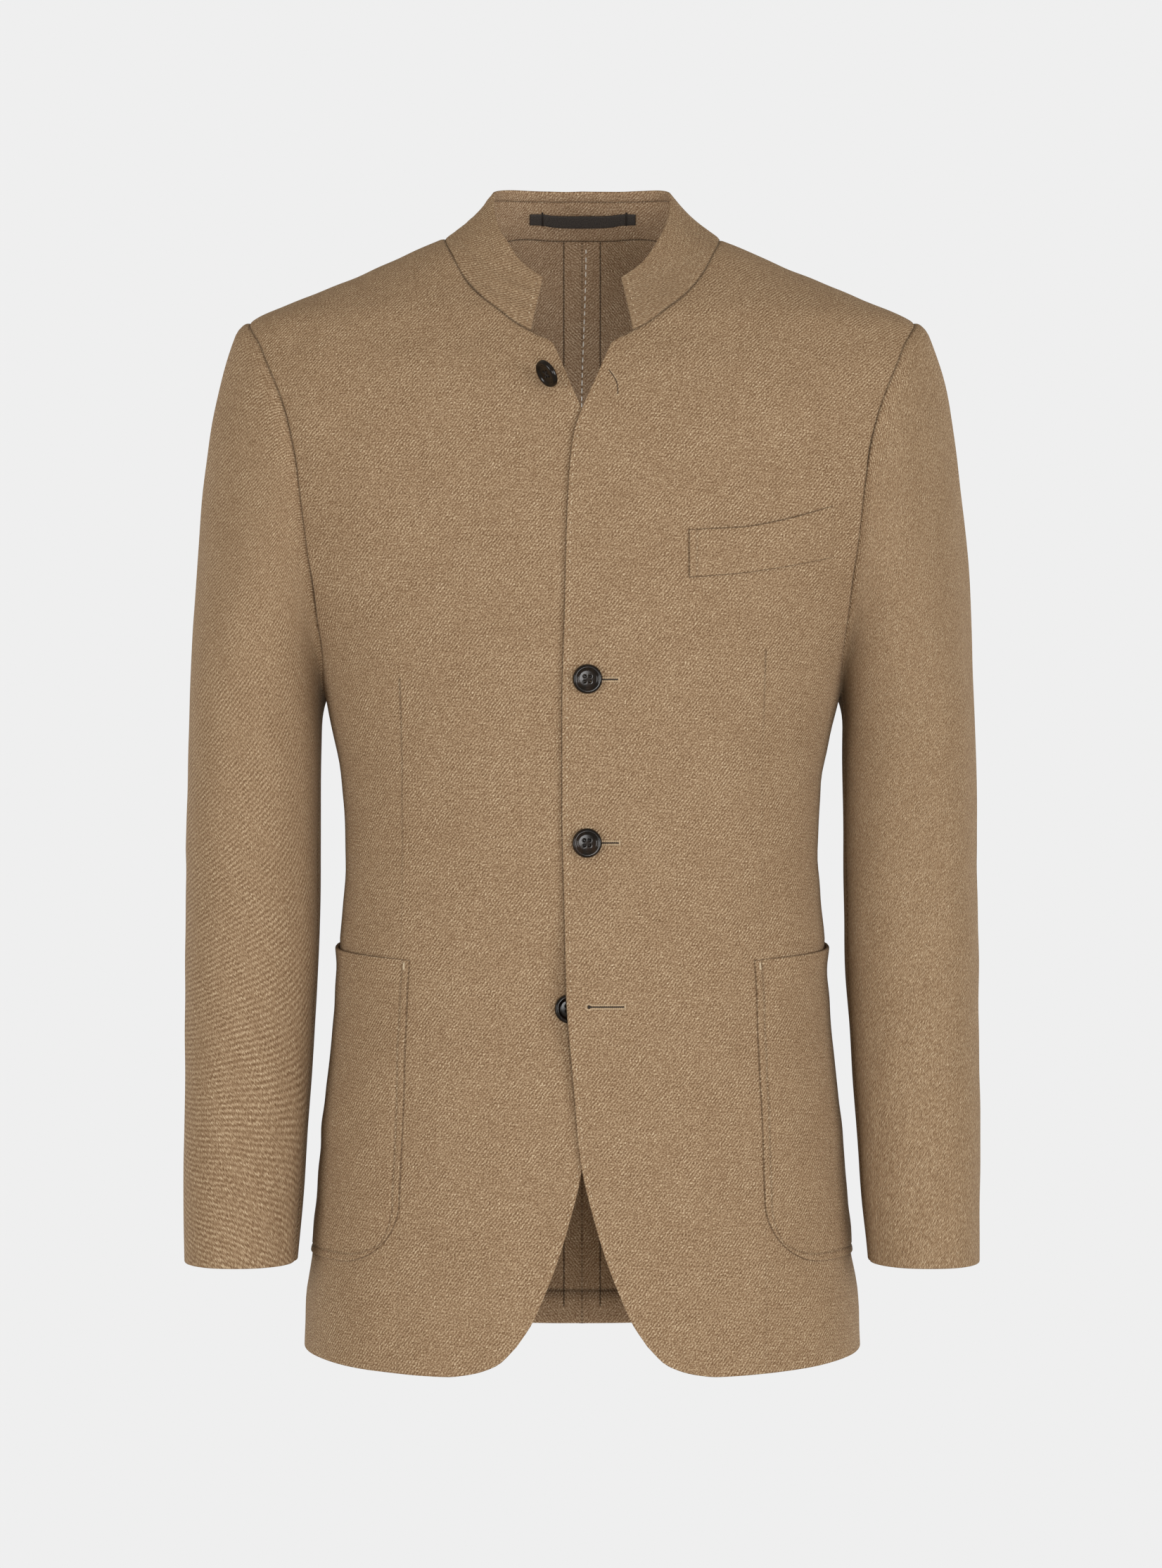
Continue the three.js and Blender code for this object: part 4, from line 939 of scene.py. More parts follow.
def back_piece(side, name, material):
    """Back half: sewn at the centre, side, shoulder and neck, with opened allowances and a turned-up hem inside."""
    borders, corners = back_borders()
    near = (AT_CENTRE, AT_SEAM, AT_HEM, AT_SEAM)
    u, v, away = shared_grid(lambda a, b: body_point(*open_back(patch(borders, a, b))), (40, 112), near, corners)
    turn, z = open_back(patch(borders, u, v))
    point, normal = body_point(turn, z), body_normal(turn, z)
    x = point[..., 0] * side
    base = ripple(x, z, 8) + creases(x, z, BACK_FOLDS)
    fall = rounding(away["bottom"], CLOTH / 2)
    ditch = seam_ditch(away["right"], z) + seam_ditch(away["top"], x) + seam_ditch(away["left"], z)
    outer = point + normal * (base - fall - ditch)[..., None]
    centre = point[..., 0]
    turned = np.maximum(folded_in(away["right"], SIDE_ALLOWANCE), folded_in(centre, CENTRE_ALLOWANCE))
    turned = np.maximum(turned, folded_in(away["bottom"], HEM_TURN_UP, 1.7))
    seam_groove = 0.5 * bump(centre, 0.6)
    inner = point + normal * (base - CLOTH - np.where(fall > 0.01, 0, turned) + fall + seam_groove)[..., None]
    uv = body_uv(turn, z, side, start=math.pi, mirror=side)
    # Painted shade: darker lines along the sewn seams outside, and inside at the allowance's edge, the hem's fold and
    # the centre seam.
    sewn = bump(np.minimum(np.minimum(away["right"], away["top"]), away["left"]), 0.8)
    edges = np.abs(away["right"] - SIDE_ALLOWANCE) + 9 * (away["bottom"] < HEM_TURN_UP - 1)
    painted_fold_shade = bump(np.minimum(edges, np.abs(away["bottom"] - HEM_TURN_UP)), 0.6) + 0.6 * bump(centre, 0.5)
    piece = shell(name, outer, inner, uv, material, side, (sewn, painted_fold_shade))
    return sew(piece, name, outer, uv)


def sleeve_oval(angle, z):
    """Point of the sleeve below the armhole, by angle from its outer side, positive to the front."""
    reach = oval_reach(angle, sleeve_depth(z), sleeve_half(z))
    return np.stack((sleeve_x(z) + reach * np.cos(angle), sleeve_y(z) - reach * np.sin(angle), z + 0 * angle), -1)


def armhole_seam(angle):
    """Point where the sleeve is sewn on and the body's direction out there, half a gap outside the armhole."""
    wrapped = np.where(angle > math.pi, angle - 2 * math.pi, angle)

    def at(value):
        y, z = armhole_place(value)
        return turn_at_y(y, z), z

    normal = body_normal(*at(wrapped))
    along = unit(body_point(*at(wrapped + 0.02)) - body_point(*at(wrapped - 0.02)))
    return body_point(*at(wrapped)) + unit(np.cross(normal, along)) * SEAM_GAP, normal


def sleeve_at(angle, s):
    """Point of the sleeve: for s to 1 a cubic from the armhole to the first oval, and from 1 to 2 the ovals."""
    level = np.cos(angle) ** 2
    crown, under = np.where(np.cos(angle) > 0, level, 0), np.where(np.cos(angle) > 0, 0, level)
    side = 1 - level

    def blend(table):
        return crown * table["crown"] + side * table["side"] + under * table["under"]

    start, _ = armhole_seam(angle)
    end = sleeve_oval(angle, BICEP + 0 * angle)
    leave = start + np.stack((blend(SLEEVE_OUT), -blend(SLEEVE_FORWARD) * np.sin(angle), blend(SLEEVE_UP)), -1)
    slope = end - sleeve_oval(angle, BICEP - 1 + 0 * angle)
    arrive = end + slope * blend(SLEEVE_RISE)[..., None]
    t = np.clip(s, 0, 1)[..., None]
    cap = (1 - t) ** 3 * start + 3 * (1 - t) ** 2 * t * leave + 3 * (1 - t) * t * t * arrive + t ** 3 * end
    arm = sleeve_oval(angle, mix(BICEP, CUFF, np.clip(s - 1, 0, 1)))
    return np.where((s <= 1)[..., None], cap, arm)


def sleeve_piece(side, name, angles, cells, material, seed):
    """Sleeve piece between two lengthwise seams: ditched along them and at the armhole, round at the cuff."""
    first, last = angles

    def at(u, v):
        return sleeve_at(mix(first, last, u), 2 * v)

    near = (AT_SEAM[:8], AT_SEAM[:8], AT_SEAM[:8], AT_EDGE)
    u, v, away = shared_grid(at, cells, near)
    angle, s = mix(first, last, u), 2 * v
    point = at(u, v)
    around = sleeve_at(angle - 0.03, s) - sleeve_at(angle + 0.03, s)
    up = sleeve_at(angle, np.maximum(s - 0.02, 0)) - sleeve_at(angle, np.minimum(s + 0.02, 2))
    normal = unit(np.cross(around, up))
    joined = (1 - ease(0, 9, away["bottom"]))[..., None]
    normal = unit(mix(normal, armhole_seam(angle)[1], joined))
    degrees, z = np.degrees(angle), point[..., 2]
    base = ripple(degrees * 0.9, z, seed, ((95, 0.4), (55, 0.15)))
    base = base + creases(np.where(degrees > 200, degrees - 360, degrees), z, SLEEVE_FOLDS)
    base = base * ease(0, 40, away["bottom"])
    fall = rounding(away["top"], CLOTH / 2)
    ditch = seam_ditch(away["left"], z) * 0.8 + seam_ditch(away["right"], z) * 0.8
    ditch = ditch + seam_ditch(away["bottom"], degrees)
    ease_in = 0.9 * bump(away["bottom"] - 9, 8) * np.clip(np.cos(angle), 0, 1)
    outer = point + normal * (base - fall - ditch + ease_in)[..., None]
    turned = np.where(fall > 0.01, 0, folded_in(away["top"], CUFF_TURN_UP))
    inner = point + normal * (base - CLOTH - turned + fall)[..., None]
    across = runs(point, 1)
    middle = 0 if first < 0 else math.pi
    arc = across - np.stack([np.interp(middle, one, run) for one, run in zip(angle, across)])[:, None]
    bicep = np.argmax(s[:, 0] >= 1)
    uv = np.stack((-side * arc, BICEP - (runs(point, 0) - runs(point, 0)[bicep])), -1)
    # Painted shade: darker lines along the seams outside, and inside along the cuff's turn-up edge.
    sewn = bump(np.minimum(np.minimum(away["left"], away["right"]), away["bottom"]), 0.8)
    piece = shell(name, outer, inner, uv, material, side, (sewn * 0.8, bump(away["top"] - CUFF_TURN_UP, 0.6)))
    widest = np.linspace(first, last, 61)
    return sew(piece, name, outer, uv, sleeve_oval(widest, BICEP + 0 * widest))


def collar_line(turn):
    """Foot, top edge and body direction of the collar at turns in degrees, from the front end to the back."""
    angle = np.radians(turn)
    z = neckline_height(angle)
    base = body_point(angle, z)
    top_turn = np.radians(mix(COLLAR_TOP_TURN, 180, (turn - COLLAR_END_TURN) / (180 - COLLAR_END_TURN)))
    depth = np.where(top_turn < QUARTER, COLLAR_TOP["front"], COLLAR_TOP["back"])
    reach = oval_reach(top_turn, COLLAR_TOP["half"], depth)
    height = collar_top_height(np.degrees(top_turn))
    top = np.stack((reach * np.sin(top_turn), -reach * np.cos(top_turn), height), -1)
    return base + unit(top - base) * SEAM_GAP, top, body_normal(angle, z)


def collar_turn(u):
    """Turn in degrees at a share along the collar: from its end to 180 at the centre back, and back again."""
    return mix(COLLAR_END_TURN, 180, 1 - np.abs(2 * u - 1))


def collar_mirror(u):
    """Factors that mirror the half of the collar beyond the centre back."""
    return np.stack((np.where(u > 0.5, -1.0, 1.0), 1 + 0 * u, 1 + 0 * u), -1)


def collar_at(u, v):
    """Collar surface: u from the left end round the back to the right end, v from its foot to its top edge."""
    foot, top, _ = collar_line(collar_turn(u))
    return mix(foot, top, v[..., None]) * collar_mirror(u)


def collar_surface():
    """Fine grid of the collar with its directions out, which at its foot are the body's."""
    near = (AT_EDGE, AT_EDGE, AT_SEAM[:6], np.array([0, 0.12, 0.4, 0.8, 1.3, 2.4, 4, 6, 7.4, 8, 8.6, 10]))
    u, v, away = shared_grid(collar_at, (150, 14), near)
    point = collar_at(u, v)
    along = collar_at(np.minimum(u + 0.004, 1), v) - collar_at(np.maximum(u - 0.004, 0), v)
    up = collar_at(u, np.minimum(v + 0.02, 1)) - collar_at(u, np.maximum(v - 0.02, 0))
    normal = unit(np.cross(along, up))
    foot_normal = collar_line(collar_turn(u))[2] * collar_mirror(u)
    share = (1 - ease(0, 0.3, v))[..., None]
    return u, v, away, point, unit(mix(normal, foot_normal, share))


def collar_form(u, v):
    """Height over the straight line from foot to top: a little full in front and behind, hollow at the sides."""
    return mix(0.4, -2.2, np.sin(np.radians(collar_turn(u))) ** 2) * np.sin(math.pi * v)


def collar_piece(surface, material):
    """Stand collar: round at its top edge and ends, with a sewn line inside under the top."""
    u, v, away, point, normal = surface
    arc = runs(point, 1)
    base = collar_form(u, v) + ripple(arc, v * 40, 5, ((60, 0.3), (26, 0.1)))
    half = COLLAR_CLOTH / 2
    fall = np.maximum(rounding(away["top"], half), rounding(away["left"], half))
    fall = np.maximum(fall, rounding(away["right"], half))
    ditch = seam_ditch(away["bottom"], arc, 0.8)
    outer = point + normal * (base - fall - ditch)[..., None]
    sewn = 0.5 * bump(away["top"] - 8, 0.7)
    inner = point + normal * (base - COLLAR_CLOTH + fall + sewn)[..., None]
    uv = np.stack((-(arc - arc[:, -1:] / 2), v * runs(point, 0)[-1]), -1)
    # Painted shade: a darker line along the neck seam outside, and inside along the sewn line under the top and along
    # the neck seam.
    painted_seam_shades = (bump(away["bottom"], 0.8), 1.3 * bump(away["top"] - 8, 0.5) + 1.5 * bump(away["bottom"] - 0.4, 0.7))
    piece = shell("stand_collar", outer, inner, uv, material, 1, painted_seam_shades)
    sew(piece, "stand_collar", outer, uv)
    return outer, inner


def hanger_piece(material):
    """Black tape inside the collar at the back, hanging a little between its two tacks.

    Its points lie at even distances across, on the collar's form moved in by the collar's thickness."""
    low, high = 0.34, 0.57
    x = np.linspace(40, -39, 120)
    across = np.linspace(0, 1, 13)
    share = np.linspace(0.25, 0.75, 501)
    sag = 0.03 * np.clip(1 - (x / 28) ** 2, 0, 1)
    v = mix(low, high, across[:, None]) - sag * (1 - 0.4 * across[:, None])
    heights = mix(low, high, across)
    u = np.stack([np.interp(-x, -collar_at(share, np.full(501, one))[:, 0], share) for one in heights])
    point = collar_at(u, v)
    normal = unit(np.cross(collar_at(u + 0.004, v) - collar_at(u - 0.004, v), collar_at(u, v + 0.02) - point))
    bow = 0.9 * (1 - ease(22, 29, np.abs(point[..., 0])))
    edge = np.minimum(across, 1 - across)[:, None] * 11
    depth = COLLAR_CLOTH + 0.4 + bow - collar_form(u, v)
    back = point - normal * (depth - 0.2 + rounding(edge, 0.4))[..., None]
    face = point - normal * (depth + 0.85 - rounding(edge, 0.4))[..., None]
    uv = np.stack((runs(point, 1), runs(point, 0)), -1)
    sew(shell("hanger_loop", back, face, uv, material), "hanger_loop")
    return face, normal


def tape_tacks(face, normal, material):
    """Bar tacks of the tape: thread sewn up across it twice near both ends, reaching just past its top."""
    tubes = []
    for column in (nearest(face[6, :, 0], -28.4), nearest(face[6, :, 0], 32.5)):
        for shift in (0, 1):
            path = face[:, column + shift] - normal[:, column + shift] * 0.15
            beyond = path[-1] + (path[-1] - path[-3]) * 0.8
            tubes.append(tube(np.concatenate((path, [beyond + normal[-1, column] * 0.7])), 0.42, 6))
    joined_tubes("tape_tacks", tubes, material)


def inside_back(x, z, lift):
    """Point and direction in, on the allowance inside the back at x and z, a height above it."""
    turn = math.pi - x / body_back(z)
    point, normal = body_point(turn, z), body_normal(turn, z)
    base = ripple(x + 0 * z, z, 8) + creases(x + 0 * z, z, BACK_FOLDS)
    return point + normal * (base - CLOTH - 1.2 - lift)[..., None], -normal


def pocket_borders():
    """Borders of a patch with two round lower corners, by distance around and height, from its sizes."""
    bottom_z, round_across, round_up = -715, 36, 46
    front_top, back_top = np.array([101.0, -506.0]), np.array([212.0, -496.0])
    front_x = mix(109, 101, round_up / 209)
    back_x = mix(229, 212, round_up / 219)

    def arc(start, stop, middle, sign):
        angle = np.radians(np.linspace(start, stop, 41))
        z = bottom_z + round_up * (1 - np.cos(angle))
        return np.stack((middle - sign * round_across * np.sin(angle), z), -1)

    front_middle, back_middle = front_x + round_across, back_x - round_across
    bottom = np.concatenate((arc(45, 0, front_middle, 1), arc(0, 45, back_middle, -1)))
    left = np.concatenate((arc(45, 90, front_middle, 1), [front_top]))
    right = np.concatenate((arc(45, 90, back_middle, -1), [back_top]))
    return spread(bottom, 120), spread(np.stack((front_top, back_top)), 120), spread(left, 120), spread(right, 120)


def pocket_piece(side, name, material):
    """Patch pocket: lies on the front, pressed down to it along its sewn border, a little open at the top."""
    borders = pocket_borders()
    sewn = np.array([0, 0.2, 0.6, 1.1, 2, 3.4, 4.6, 5.3, 6, 7, 9])
    near = (sewn, sewn, sewn, np.array([0, 0.15, 0.5, 1, 2, 4, 7]))
    u, v, away = shared_grid(lambda a, b: body_point(*open_around(patch(borders, a, b))), (26, 46), near)
    turn, z = open_around(patch(borders, u, v))
    point, normal = body_point(turn, z), body_normal(turn, z)
    border = np.minimum(np.minimum(away["left"], away["right"]), away["bottom"])
    x = point[..., 0]
    base = front_form(x * side, z) - pocket_sink(turn, z)
    lift = 1.8 + 0.5 * ease(4, 30, border) + 0.8 * bump(away["top"], 22) * ease(8, 45, border)
    lift = lift - 0.75 * bump(border - POCKET_STITCH, 0.9) + ripple(x, z, 12, ((34, 0.25), (18, 0.12)))
    fall = np.maximum(rounding(border, 1.2), rounding(away["top"], 1.0))
    outer = point + normal * (base + lift - fall)[..., None]
    under = np.maximum(lift - CLOTH, 0.12)
    inner = point + normal * (base + np.minimum(under + fall * 0.3, lift - fall - 0.15))[..., None]
    uv = body_uv(turn, z, side) + (7, 3)
    # Painted shade: darker lines along the stitching, the sewn border and the top edge.
    sewn = 0.55 * bump(border - POCKET_STITCH, 0.7) + 0.8 * bump(border, 0.35) + 0.9 * bump(away["top"], 0.4)
    piece = shell(name, outer, inner, uv, material, side, (sewn, 0))
    sew(piece, name, outer, uv)
    return outer * (side, 1, 1), normal * (side, 1, 1), away


def welt_piece(material):
    """Chest welt: a slanting band on the left front, sewn down at its foot and both ends."""
    bottom = curve([(72.6, -244.5), (107, -241.4), (135, -237), (172, -229)])
    top = curve([(72.6, -211.8), (107, -209.8), (135, -204.6), (172, -193.5)])

    def place(u, v):
        x = mix(72.6, 172, u)
        z = mix(bottom(x), top(x), v)
        return turn_at_x(x, z), z

    near = (np.array([0, 0.2, 0.6, 1.1, 2, 3.6, 4.8, 5.5, 6.2, 8]),) * 2 + (np.array([0, 0.2, 0.6, 1.1, 2, 4]),) * 2
    u, v, away = shared_grid(lambda a, b: body_point(*place(a, b)), (30, 12), near)
    turn, z = place(u, v)
    point, normal = body_point(turn, z), body_normal(turn, z)
    ends = np.minimum(away["left"], away["right"])
    border = np.minimum(ends, away["bottom"])
    lift = 1.7 + 0.5 * ease(2, 12, border) + 0.9 * bump(away["top"], 9) * ease(6, 26, ends)
    lift = (lift - 0.45 * bump(away["left"] - WELT_STITCH, 0.8)) * (1 - 0.45 * (1 - ease(0, 30, away["right"])))
    fall = np.maximum(rounding(border, 1.0), rounding(away["top"], 0.9))
    base = front_form(point[..., 0], z)
    outer = point + normal * (base + lift - fall)[..., None]
    inner = point + normal * (base + 0.12 + 0.9 * bump(away["top"], 7) * ease(6, 26, ends))[..., None]
    uv = body_uv(turn, z, 1) + (3, 11)
    # Painted shade: darker lines along the stitching near the left end, the left end and foot, and the top edge.
    sewn = 0.4 * bump(away["left"] - WELT_STITCH, 0.7) + bump(np.minimum(away["left"], away["bottom"]), 0.45)
    sewn = sewn + bump(away["top"], 0.45)
    piece = shell("chest_welt", outer, inner, uv, material, 1, (sewn, 0))
    sew(piece, "chest_welt", outer, uv)
    return outer, normal, away


def stitches(name, lines_and_normals, spacing, size, material):
    """Hand stitches: small flattened beads set out evenly along lines, a little uneven in place and length."""
    rng = np.random.default_rng(len(name))
    theta, phi = np.meshgrid(np.linspace(0, math.pi, 7), np.linspace(0, 2 * math.pi, 7)[:-1])
    bead = np.stack((np.cos(theta), np.sin(theta) * np.cos(phi), np.sin(theta) * np.sin(phi)), -1)
    count_phi, count_theta = theta.shape
    index = np.arange(count_phi * count_theta).reshape(count_phi, count_theta)
    after = np.roll(index, -1, 0)
    quads = np.stack((index[:, :-1], index[:, 1:], after[:, 1:], after[:, :-1]), -1).reshape(-1, 4)
    all_points, all_faces = [], []
    for line, normal in lines_and_normals:
        run = runs(line, 0)
        count = max(int(run[-1] / spacing), 1)
        at = (np.arange(count) + 0.5) * run[-1] / count + rng.uniform(-0.35, 0.35, count)
        centre = np.stack([np.interp(at, run, line[:, k]) for k in range(3)], -1)
        ahead = np.stack([np.interp(at + 0.6, run, line[:, k]) for k in range(3)], -1)
        out = unit(np.stack([np.interp(at, run, normal[:, k]) for k in range(3)], -1))
        along = unit(ahead - centre + 1e-9)
        beside = unit(np.cross(out, along))
        long = size[0] / 2 * rng.uniform(0.85, 1.15, count)
        parts = (along[:, None] * bead[..., 0].reshape(1, -1, 1) * long[:, None, None]
                 + beside[:, None] * bead[..., 1].reshape(1, -1, 1) * size[1] / 2
                 + out[:, None] * bead[..., 2].reshape(1, -1, 1) * size[2] / 2)
        start = sum(len(p) for p in all_points)
        all_points.append((centre[:, None] + parts).reshape(-1, 3))
        all_faces.append((quads[None] + start + (np.arange(count) * bead.shape[0] * bead.shape[1])[:, None, None])
                         .reshape(-1, 4))
    points = np.concatenate(all_points)
    return trim(make_mesh(name, points, outward(points, np.concatenate(all_faces)), material))


def border_line(outer, normal, index, lift=0.1, side=1, rows=slice(None)):
    """One column of a grid as a line of points raised a little, with the directions out."""
    line, out = outer[rows, index], normal[rows, index]
    return (line + out * lift) * (side, 1, 1), out * (side, 1, 1)


def tube(path, radius, sides=8):
    """Tube along a path: rings of a radius, square to it, closed by a cap of faces at each end."""
    path = np.asarray(path, float)
    along = unit(np.gradient(path, axis=0))
    start = np.cross(along, (0.31, 0.87, 0.12))
    one = unit(start)
    two = np.cross(along, one)
    angle = np.linspace(0, 2 * math.pi, sides + 1)[:-1]
    radius = np.broadcast_to(radius, len(path))[:, None, None]
    ring = one[:, None] * np.cos(angle)[None, :, None] + two[:, None] * np.sin(angle)[None, :, None]
    points = (path[:, None] + ring * radius).reshape(-1, 3)
    index = np.arange(len(points)).reshape(len(path), sides)
    after = np.roll(index, -1, 1)
    quads = np.stack((index[:-1], after[:-1], after[1:], index[1:]), -1).reshape(-1, 4)
    caps = [index[0, ::-1].tolist(), index[-1].tolist()]
    return points, quads, caps


def joined_tubes(name, tubes, material):
    """Several tubes as one piece."""
    points, faces, start = [], [], 0
    for part, quads, caps in tubes:
        turned = outward(part, quads)
        flipped = not np.array_equal(turned, quads)
        faces += (turned + start).tolist()
        faces += [[k + start for k in (cap[::-1] if flipped else cap)] for cap in caps]
        points.append(part)
        start += len(part)
    return trim(make_mesh(name, np.concatenate(points), faces, material))


def on_front(x, z, lift):
    """Point and direction out on the left front at x and z, a height above its cloth."""
    x, z = np.asarray(x, float), np.asarray(z, float)
    turn = turn_at_x(x, z)
    point, normal = body_point(turn, z), body_normal(turn, z)
    height = front_lift(point[..., 0], z, 1) + front_form(x, z) + lift
    return point + normal * height[..., None], normal


HOLE_RADIUS, HOLE_SPACING = 0.95, 1.75
BUTTON_PROFILE = np.array([
    (0, 2.2), (3, 2.25), (5.6, 2.4), (6.6, 2.7), (7.3, 3.25), (8.1, 3.58), (8.9, 3.5), (9.6, 2.95), (10.0, 2.1),
    (10.1, 1.4),
])
BUTTONS = {
    "button_neck": {"x": -22.8, "z": -107, "lift": 7.5, "face": (-0.74, -0.454, -0.49)},
    "button_chest": {"x": 3.7, "z": -313.6, "lift": 0.45},
    "button_waist": {"x": 3.4, "z": -425.2, "lift": 0.9},
    "button_lower": {
        "x": LOW_ROOM["x"], "z": LOW_ROOM["z"], "lift": 1.2 - UNDERLAP["sink"] - LOW_ROOM["lift"],
    },
}


def button_frame(x, z, lift, face=None):
    """Middle of a button's back, with the directions across, up and out of its face."""
    side = -1 if x < 0 else 1
    turn = turn_at_x(np.array(abs(x), float), np.array(z, float))
    normal = body_normal(turn, np.array(z, float))
    origin = (body_point(turn, np.array(z, float)) + normal * lift) * (side, 1, 1)
    out = unit(np.array(face, float)) if face else unit(normal * (side, 1, 1))
    across = unit(np.cross(out, (0, 0, 1)))
    return origin, across, np.cross(across, out), out


def button_piece(name, material):
    """Button: a profile turned about its axis, its four holes pressed into the dish, closed by fans at both poles."""
    origin, across, up, out = button_frame(**BUTTONS[name])
    top = np.concatenate((np.arange(0.2, 3.8, 0.2), np.linspace(3.8, 10.1, 22)))
    height = curve(BUTTON_PROFILE)(top)
    radius = np.concatenate((top, [10.05, 9.7, 9.0, 7.5, 4, 1]))
    height = np.concatenate((height, [0.8, 0.32, 0.08, 0, 0, 0]))
    angle = np.linspace(0, 2 * math.pi, 129)[:-1]
    x, y = radius[:, None] * np.cos(angle), radius[:, None] * np.sin(angle)
    hole = np.hypot(np.abs(x) - HOLE_SPACING, np.abs(y) - HOLE_SPACING)
    on_top = (np.arange(len(radius)) < len(top))[:, None]
    h = height[:, None] - on_top * 1.7 * (1 - ease(HOLE_RADIUS - 0.22, HOLE_RADIUS + 0.12, hole))
    h = h + on_top * 0.10 * bump(hole - 1.2, 0.25)

    def placed(a, b, c):
        return origin + across * a[..., None] + up * b[..., None] + out * c[..., None]

    points = np.concatenate((placed(x, y, h).reshape(-1, 3), [origin + out * 2.2, origin]))
    index = np.arange(x.size).reshape(x.shape)
    after = np.roll(index, -1, 1)
    quads = outward(points, np.stack((index[:-1], index[1:], after[1:], after[:-1]), -1).reshape(-1, 4))
    fans = [[x.size, a, b] for a, b in zip(index[0].tolist(), after[0].tolist())]
    fans += [[x.size + 1, b, a] for a, b in zip(index[-1].tolist(), after[-1].tolist())]
    return sew(make_mesh(name, points, quads.tolist() + fans, material), name)


def button_threads(name, material):
    """Thread through the holes: two pairs of bars crossing from hole to hole, raised in the middle."""
    origin, across, up, out = button_frame(**BUTTONS[name])
    share = np.linspace(0, 1, 13)
    tubes = []
    for a, b in (((-1, -1), (1, 1)), ((-1, 1), (1, -1))):
        for off in (-0.28, 0.28):
            x = mix(a[0], b[0], share) * HOLE_SPACING + off * a[1] * b[0]
            y = mix(a[1], b[1], share) * HOLE_SPACING + off
            z = 0.9 + 1.75 * np.sin(math.pi * share) ** 0.35
            path = origin + across * x[:, None] + up * y[:, None] + out * z[:, None]
            tubes.append(tube(path, 0.27, 6))
    if name == "button_neck":
        cloth = origin - unit(body_point(np.arctan2(origin[0], -origin[1]), origin[2]) * (1, 1, 0)) * 9
        tubes.append(tube(mix(origin + out * 0.5, cloth, np.linspace(0, 1, 12)[:, None]), 1.25, 10))
    return joined_tubes(name + "_thread", tubes, material)


def buttonhole(tubes, slit_shades, x, z, length, eyelet=2.0):
    """Keyhole outline on the left front: a round eyelet, two close sides and a short bar at the far end, with a
    dark tube in the slit as painted shade.
    """
    turn = np.linspace(math.radians(40), math.radians(320), 30)
    ring_x, ring_z = eyelet * np.cos(turn), eyelet * np.sin(turn)
    gap = 1.2
    run = np.linspace(eyelet, length, 130)
    px = np.concatenate((run[::-1], ring_x, run))
    pz = np.concatenate((np.full(130, gap), ring_z, np.full(130, -gap)))
    path, _ = on_front(x + px, z + pz, 0.3)
    beads = 0.70 + 0.25 * np.sin(runs(path, 0) * 2 * math.pi / 1.3)
    tubes.append(tube(path, beads))
    bar = np.linspace(-1.9, 1.9, 14)
    tubes.append(tube(on_front(x + length + 0 * bar, z + bar, 0.35)[0], 0.66 + 0.15 * np.sin(bar * 7)))
    # The slit is a dark tube: painted shade in the cut between the two sides, wider at the eyelet.
    slit = np.linspace(-0.8, length - 0.3, 60)
    slit_shades.append(tube(on_front(x + slit, z + 0 * slit, -0.1)[0], 0.45 + 0.65 * bump(slit, 1.0), 8))


def add_buttonholes(cloth_thread, dark_thread_and_slit_shade):
    """Thread-worked holes of the left front: three level ones, and the top one that follows the turned edge."""
    tubes, slit_shades = [], []
    buttonhole(tubes, slit_shades, 0.5, -314.0, 24.6)
    buttonhole(tubes, slit_shades, 0.2, -425.2, 25.4)
    buttonhole(tubes, slit_shades, 4.6, -536.8, 24.6)
    share = np.linspace(0, 1, 50)
    x = 18.3 + 6.0 * share + 2.2 * np.sin(math.pi * share)
    z = mix(-101.5, -119.5, share)
    # The top hole's slit is a thin dark tube: painted shade in the cut.
    slit_shades.append(tube(on_front(x, z, -0.05)[0], 0.24))
    tubes.append(tube(on_front(x[2:24] + 1.0, z[2:24], 0.05)[0], 0.3 + 0.08 * np.sin(share[:22] * 130)))
    tubes.append(tube(on_front(x[-1] + np.linspace(-0.9, 0.9, 9), z[-1] + 0 * x[:9], 0.25)[0], 0.55))
    joined_tubes("buttonholes", tubes, cloth_thread)
    # The slits' dark tubes are painted shade.
    joined_tubes("buttonhole_slit_shade", slit_shades, dark_thread_and_slit_shade)


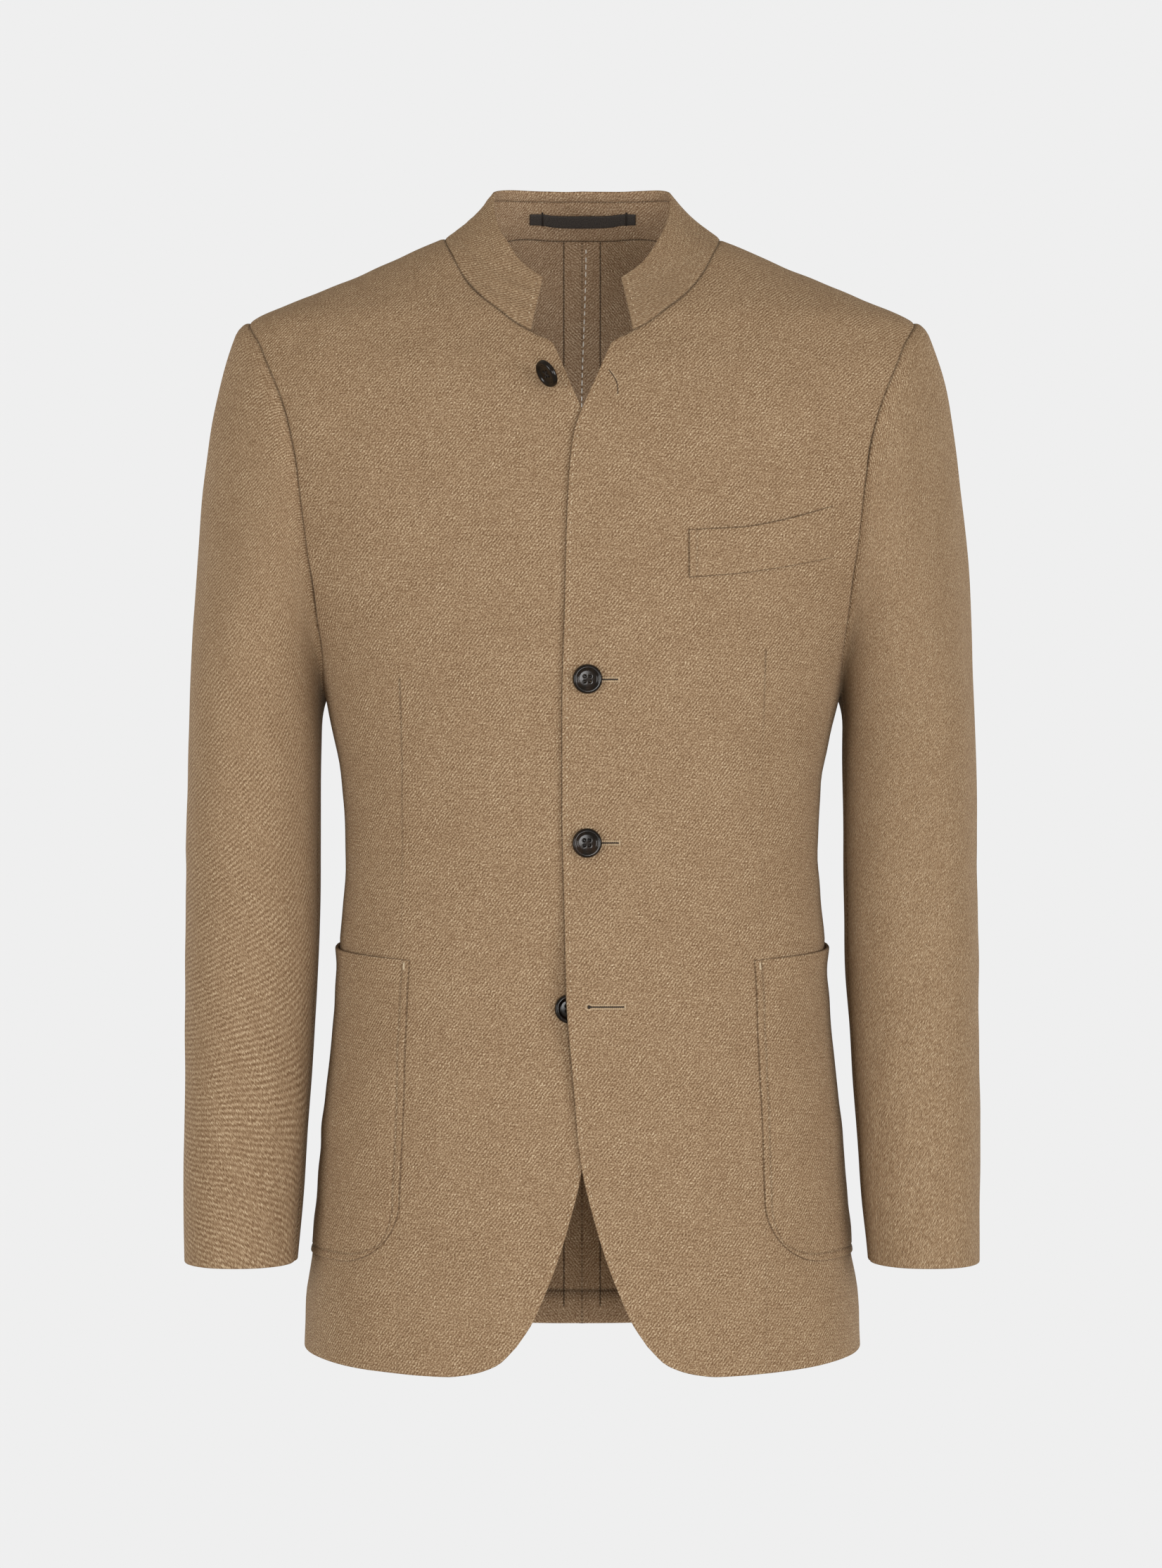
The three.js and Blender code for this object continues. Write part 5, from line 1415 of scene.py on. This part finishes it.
def main():
    """Makes the studio, the finishes and every piece."""
    add_camera()
    add_studio()
    left_cloth = wool("wool_twill_left_front", darts=((129, -350, -283),))
    right_cloth = wool("wool_twill_right_front", darts=((-129, -500, -303),))
    cloth = wool("wool_twill")
    pale = thread("pale_stitching", (0.68, 0.57, 0.41))
    grey = thread("grey_basting", (0.92, 0.88, 0.80))
    brown = thread("brown_stitching", (0.30, 0.19, 0.11))
    tan = thread("buttonhole_twist", (0.50, 0.38, 0.25))
    # Dark thread for the tacks and button threads, also used for the buttonhole slits as painted shade.
    dark = thread("dark_thread_and_slit_shade", (0.018, 0.012, 0.009))
    button = horn("polished_horn")
    tape = woven_tape("woven_tape")

    surface = front_surface()
    normal, away, v, edge_share = surface[3], surface[4], surface[5], surface[6]
    edge_rows = slice(14, int(np.argmax(v[:, 0] > edge_share)) - 3)
    edge_column = nearest(away["left"][60], 4.6)
    seams = []
    for side, name, finish in ((1, "front_left", left_cloth), (-1, "front_right", right_cloth)):
        outer = front_piece(side, name, surface, finish)
        seams.append(border_line(outer, normal, edge_column, 0.12, side, edge_rows))
    back_cloth = wool("wool_twill_backs", allowance=CENTRE_ALLOWANCE)
    back_piece(1, "back_left", back_cloth)
    back_piece(-1, "back_right", back_cloth)

    inseam, elbow = armhole_angle(1, INSEAM_SHARE), armhole_angle(-1, ELBOW_SHARE)
    half_gap = SEAM_GAP / 2 / 67
    top_angles = elbow + half_gap, inseam - half_gap
    under_angles = inseam + half_gap, elbow + 2 * math.pi - half_gap
    for side, name, seed in ((1, "left", 21), (-1, "right", 34)):
        sleeve_piece(side, f"top_sleeve_{name}", top_angles, (56, 92), cloth, seed)
        sleeve_piece(side, f"under_sleeve_{name}", under_angles, (22, 92), cloth, seed + 1)

    collar = collar_surface()
    collar_outer, collar_inner = collar_piece(collar, cloth)
    collar_away, collar_normal = collar[2], collar[4]
    end_column = nearest(collar_away["left"][8], 4.2)
    for index in (end_column, collar_outer.shape[1] - 1 - end_column):
        seams.append(border_line(collar_outer, collar_normal, index, 0.1, 1, slice(4, -7)))
    tape_tacks(*hanger_piece(tape), dark)

    tacks = []
    for side, name in ((1, "left"), (-1, "right")):
        outer, normal, away = pocket_piece(side, f"patch_pocket_{name}", cloth)
        column = nearest(away["left"][20], 5.3)
        seams.append(border_line(outer, normal, column, 0.05, 1, slice(12, -12)))
        near_top = (away["top"][:, column] > 1.5) & (away["top"][:, column] < 11)
        bar = border_line(outer, normal, column - 2, 0.1, 1, near_top)[0]
        tacks += [tube(bar, 0.3, 6), tube(bar + (0.7 * side, 0, 0), 0.3, 6)]
    joined_tubes("pocket_tacks", tacks, pale)
    outer, normal, away = welt_piece(cloth)
    column = nearest(away["left"][8], WELT_STITCH)
    seams.append(border_line(outer, normal, column, 0.05, 1, slice(4, -4)))
    z = np.linspace(8, -330, 400)
    drift = mix(2.9, -0.3, ease(8, -112, z))
    stitches("back_seam_stitching", [inside_back(drift, z, 0.4)], 5.6, (3.9, 1.15, 1.0), grey)
    stitches("edge_stitching", seams, 6.6, (1.4, 0.85, 0.65), pale)
    rows = []
    for index in (nearest(collar_away["bottom"][:, 75], 1.9), nearest(collar_away["top"][:, 75], 7.2)):
        line = collar_inner[index, 34:-34] - collar_normal[index, 34:-34] * 0.1
        rows.append((line, -collar_normal[index, 34:-34]))
    stitches("collar_stitching", rows, 2.3, (1.5, 0.6, 0.5), brown)

    for name in BUTTONS:
        button_piece(name, button)
        button_threads(name, dark)
    add_buttonholes(tan, dark)


main()
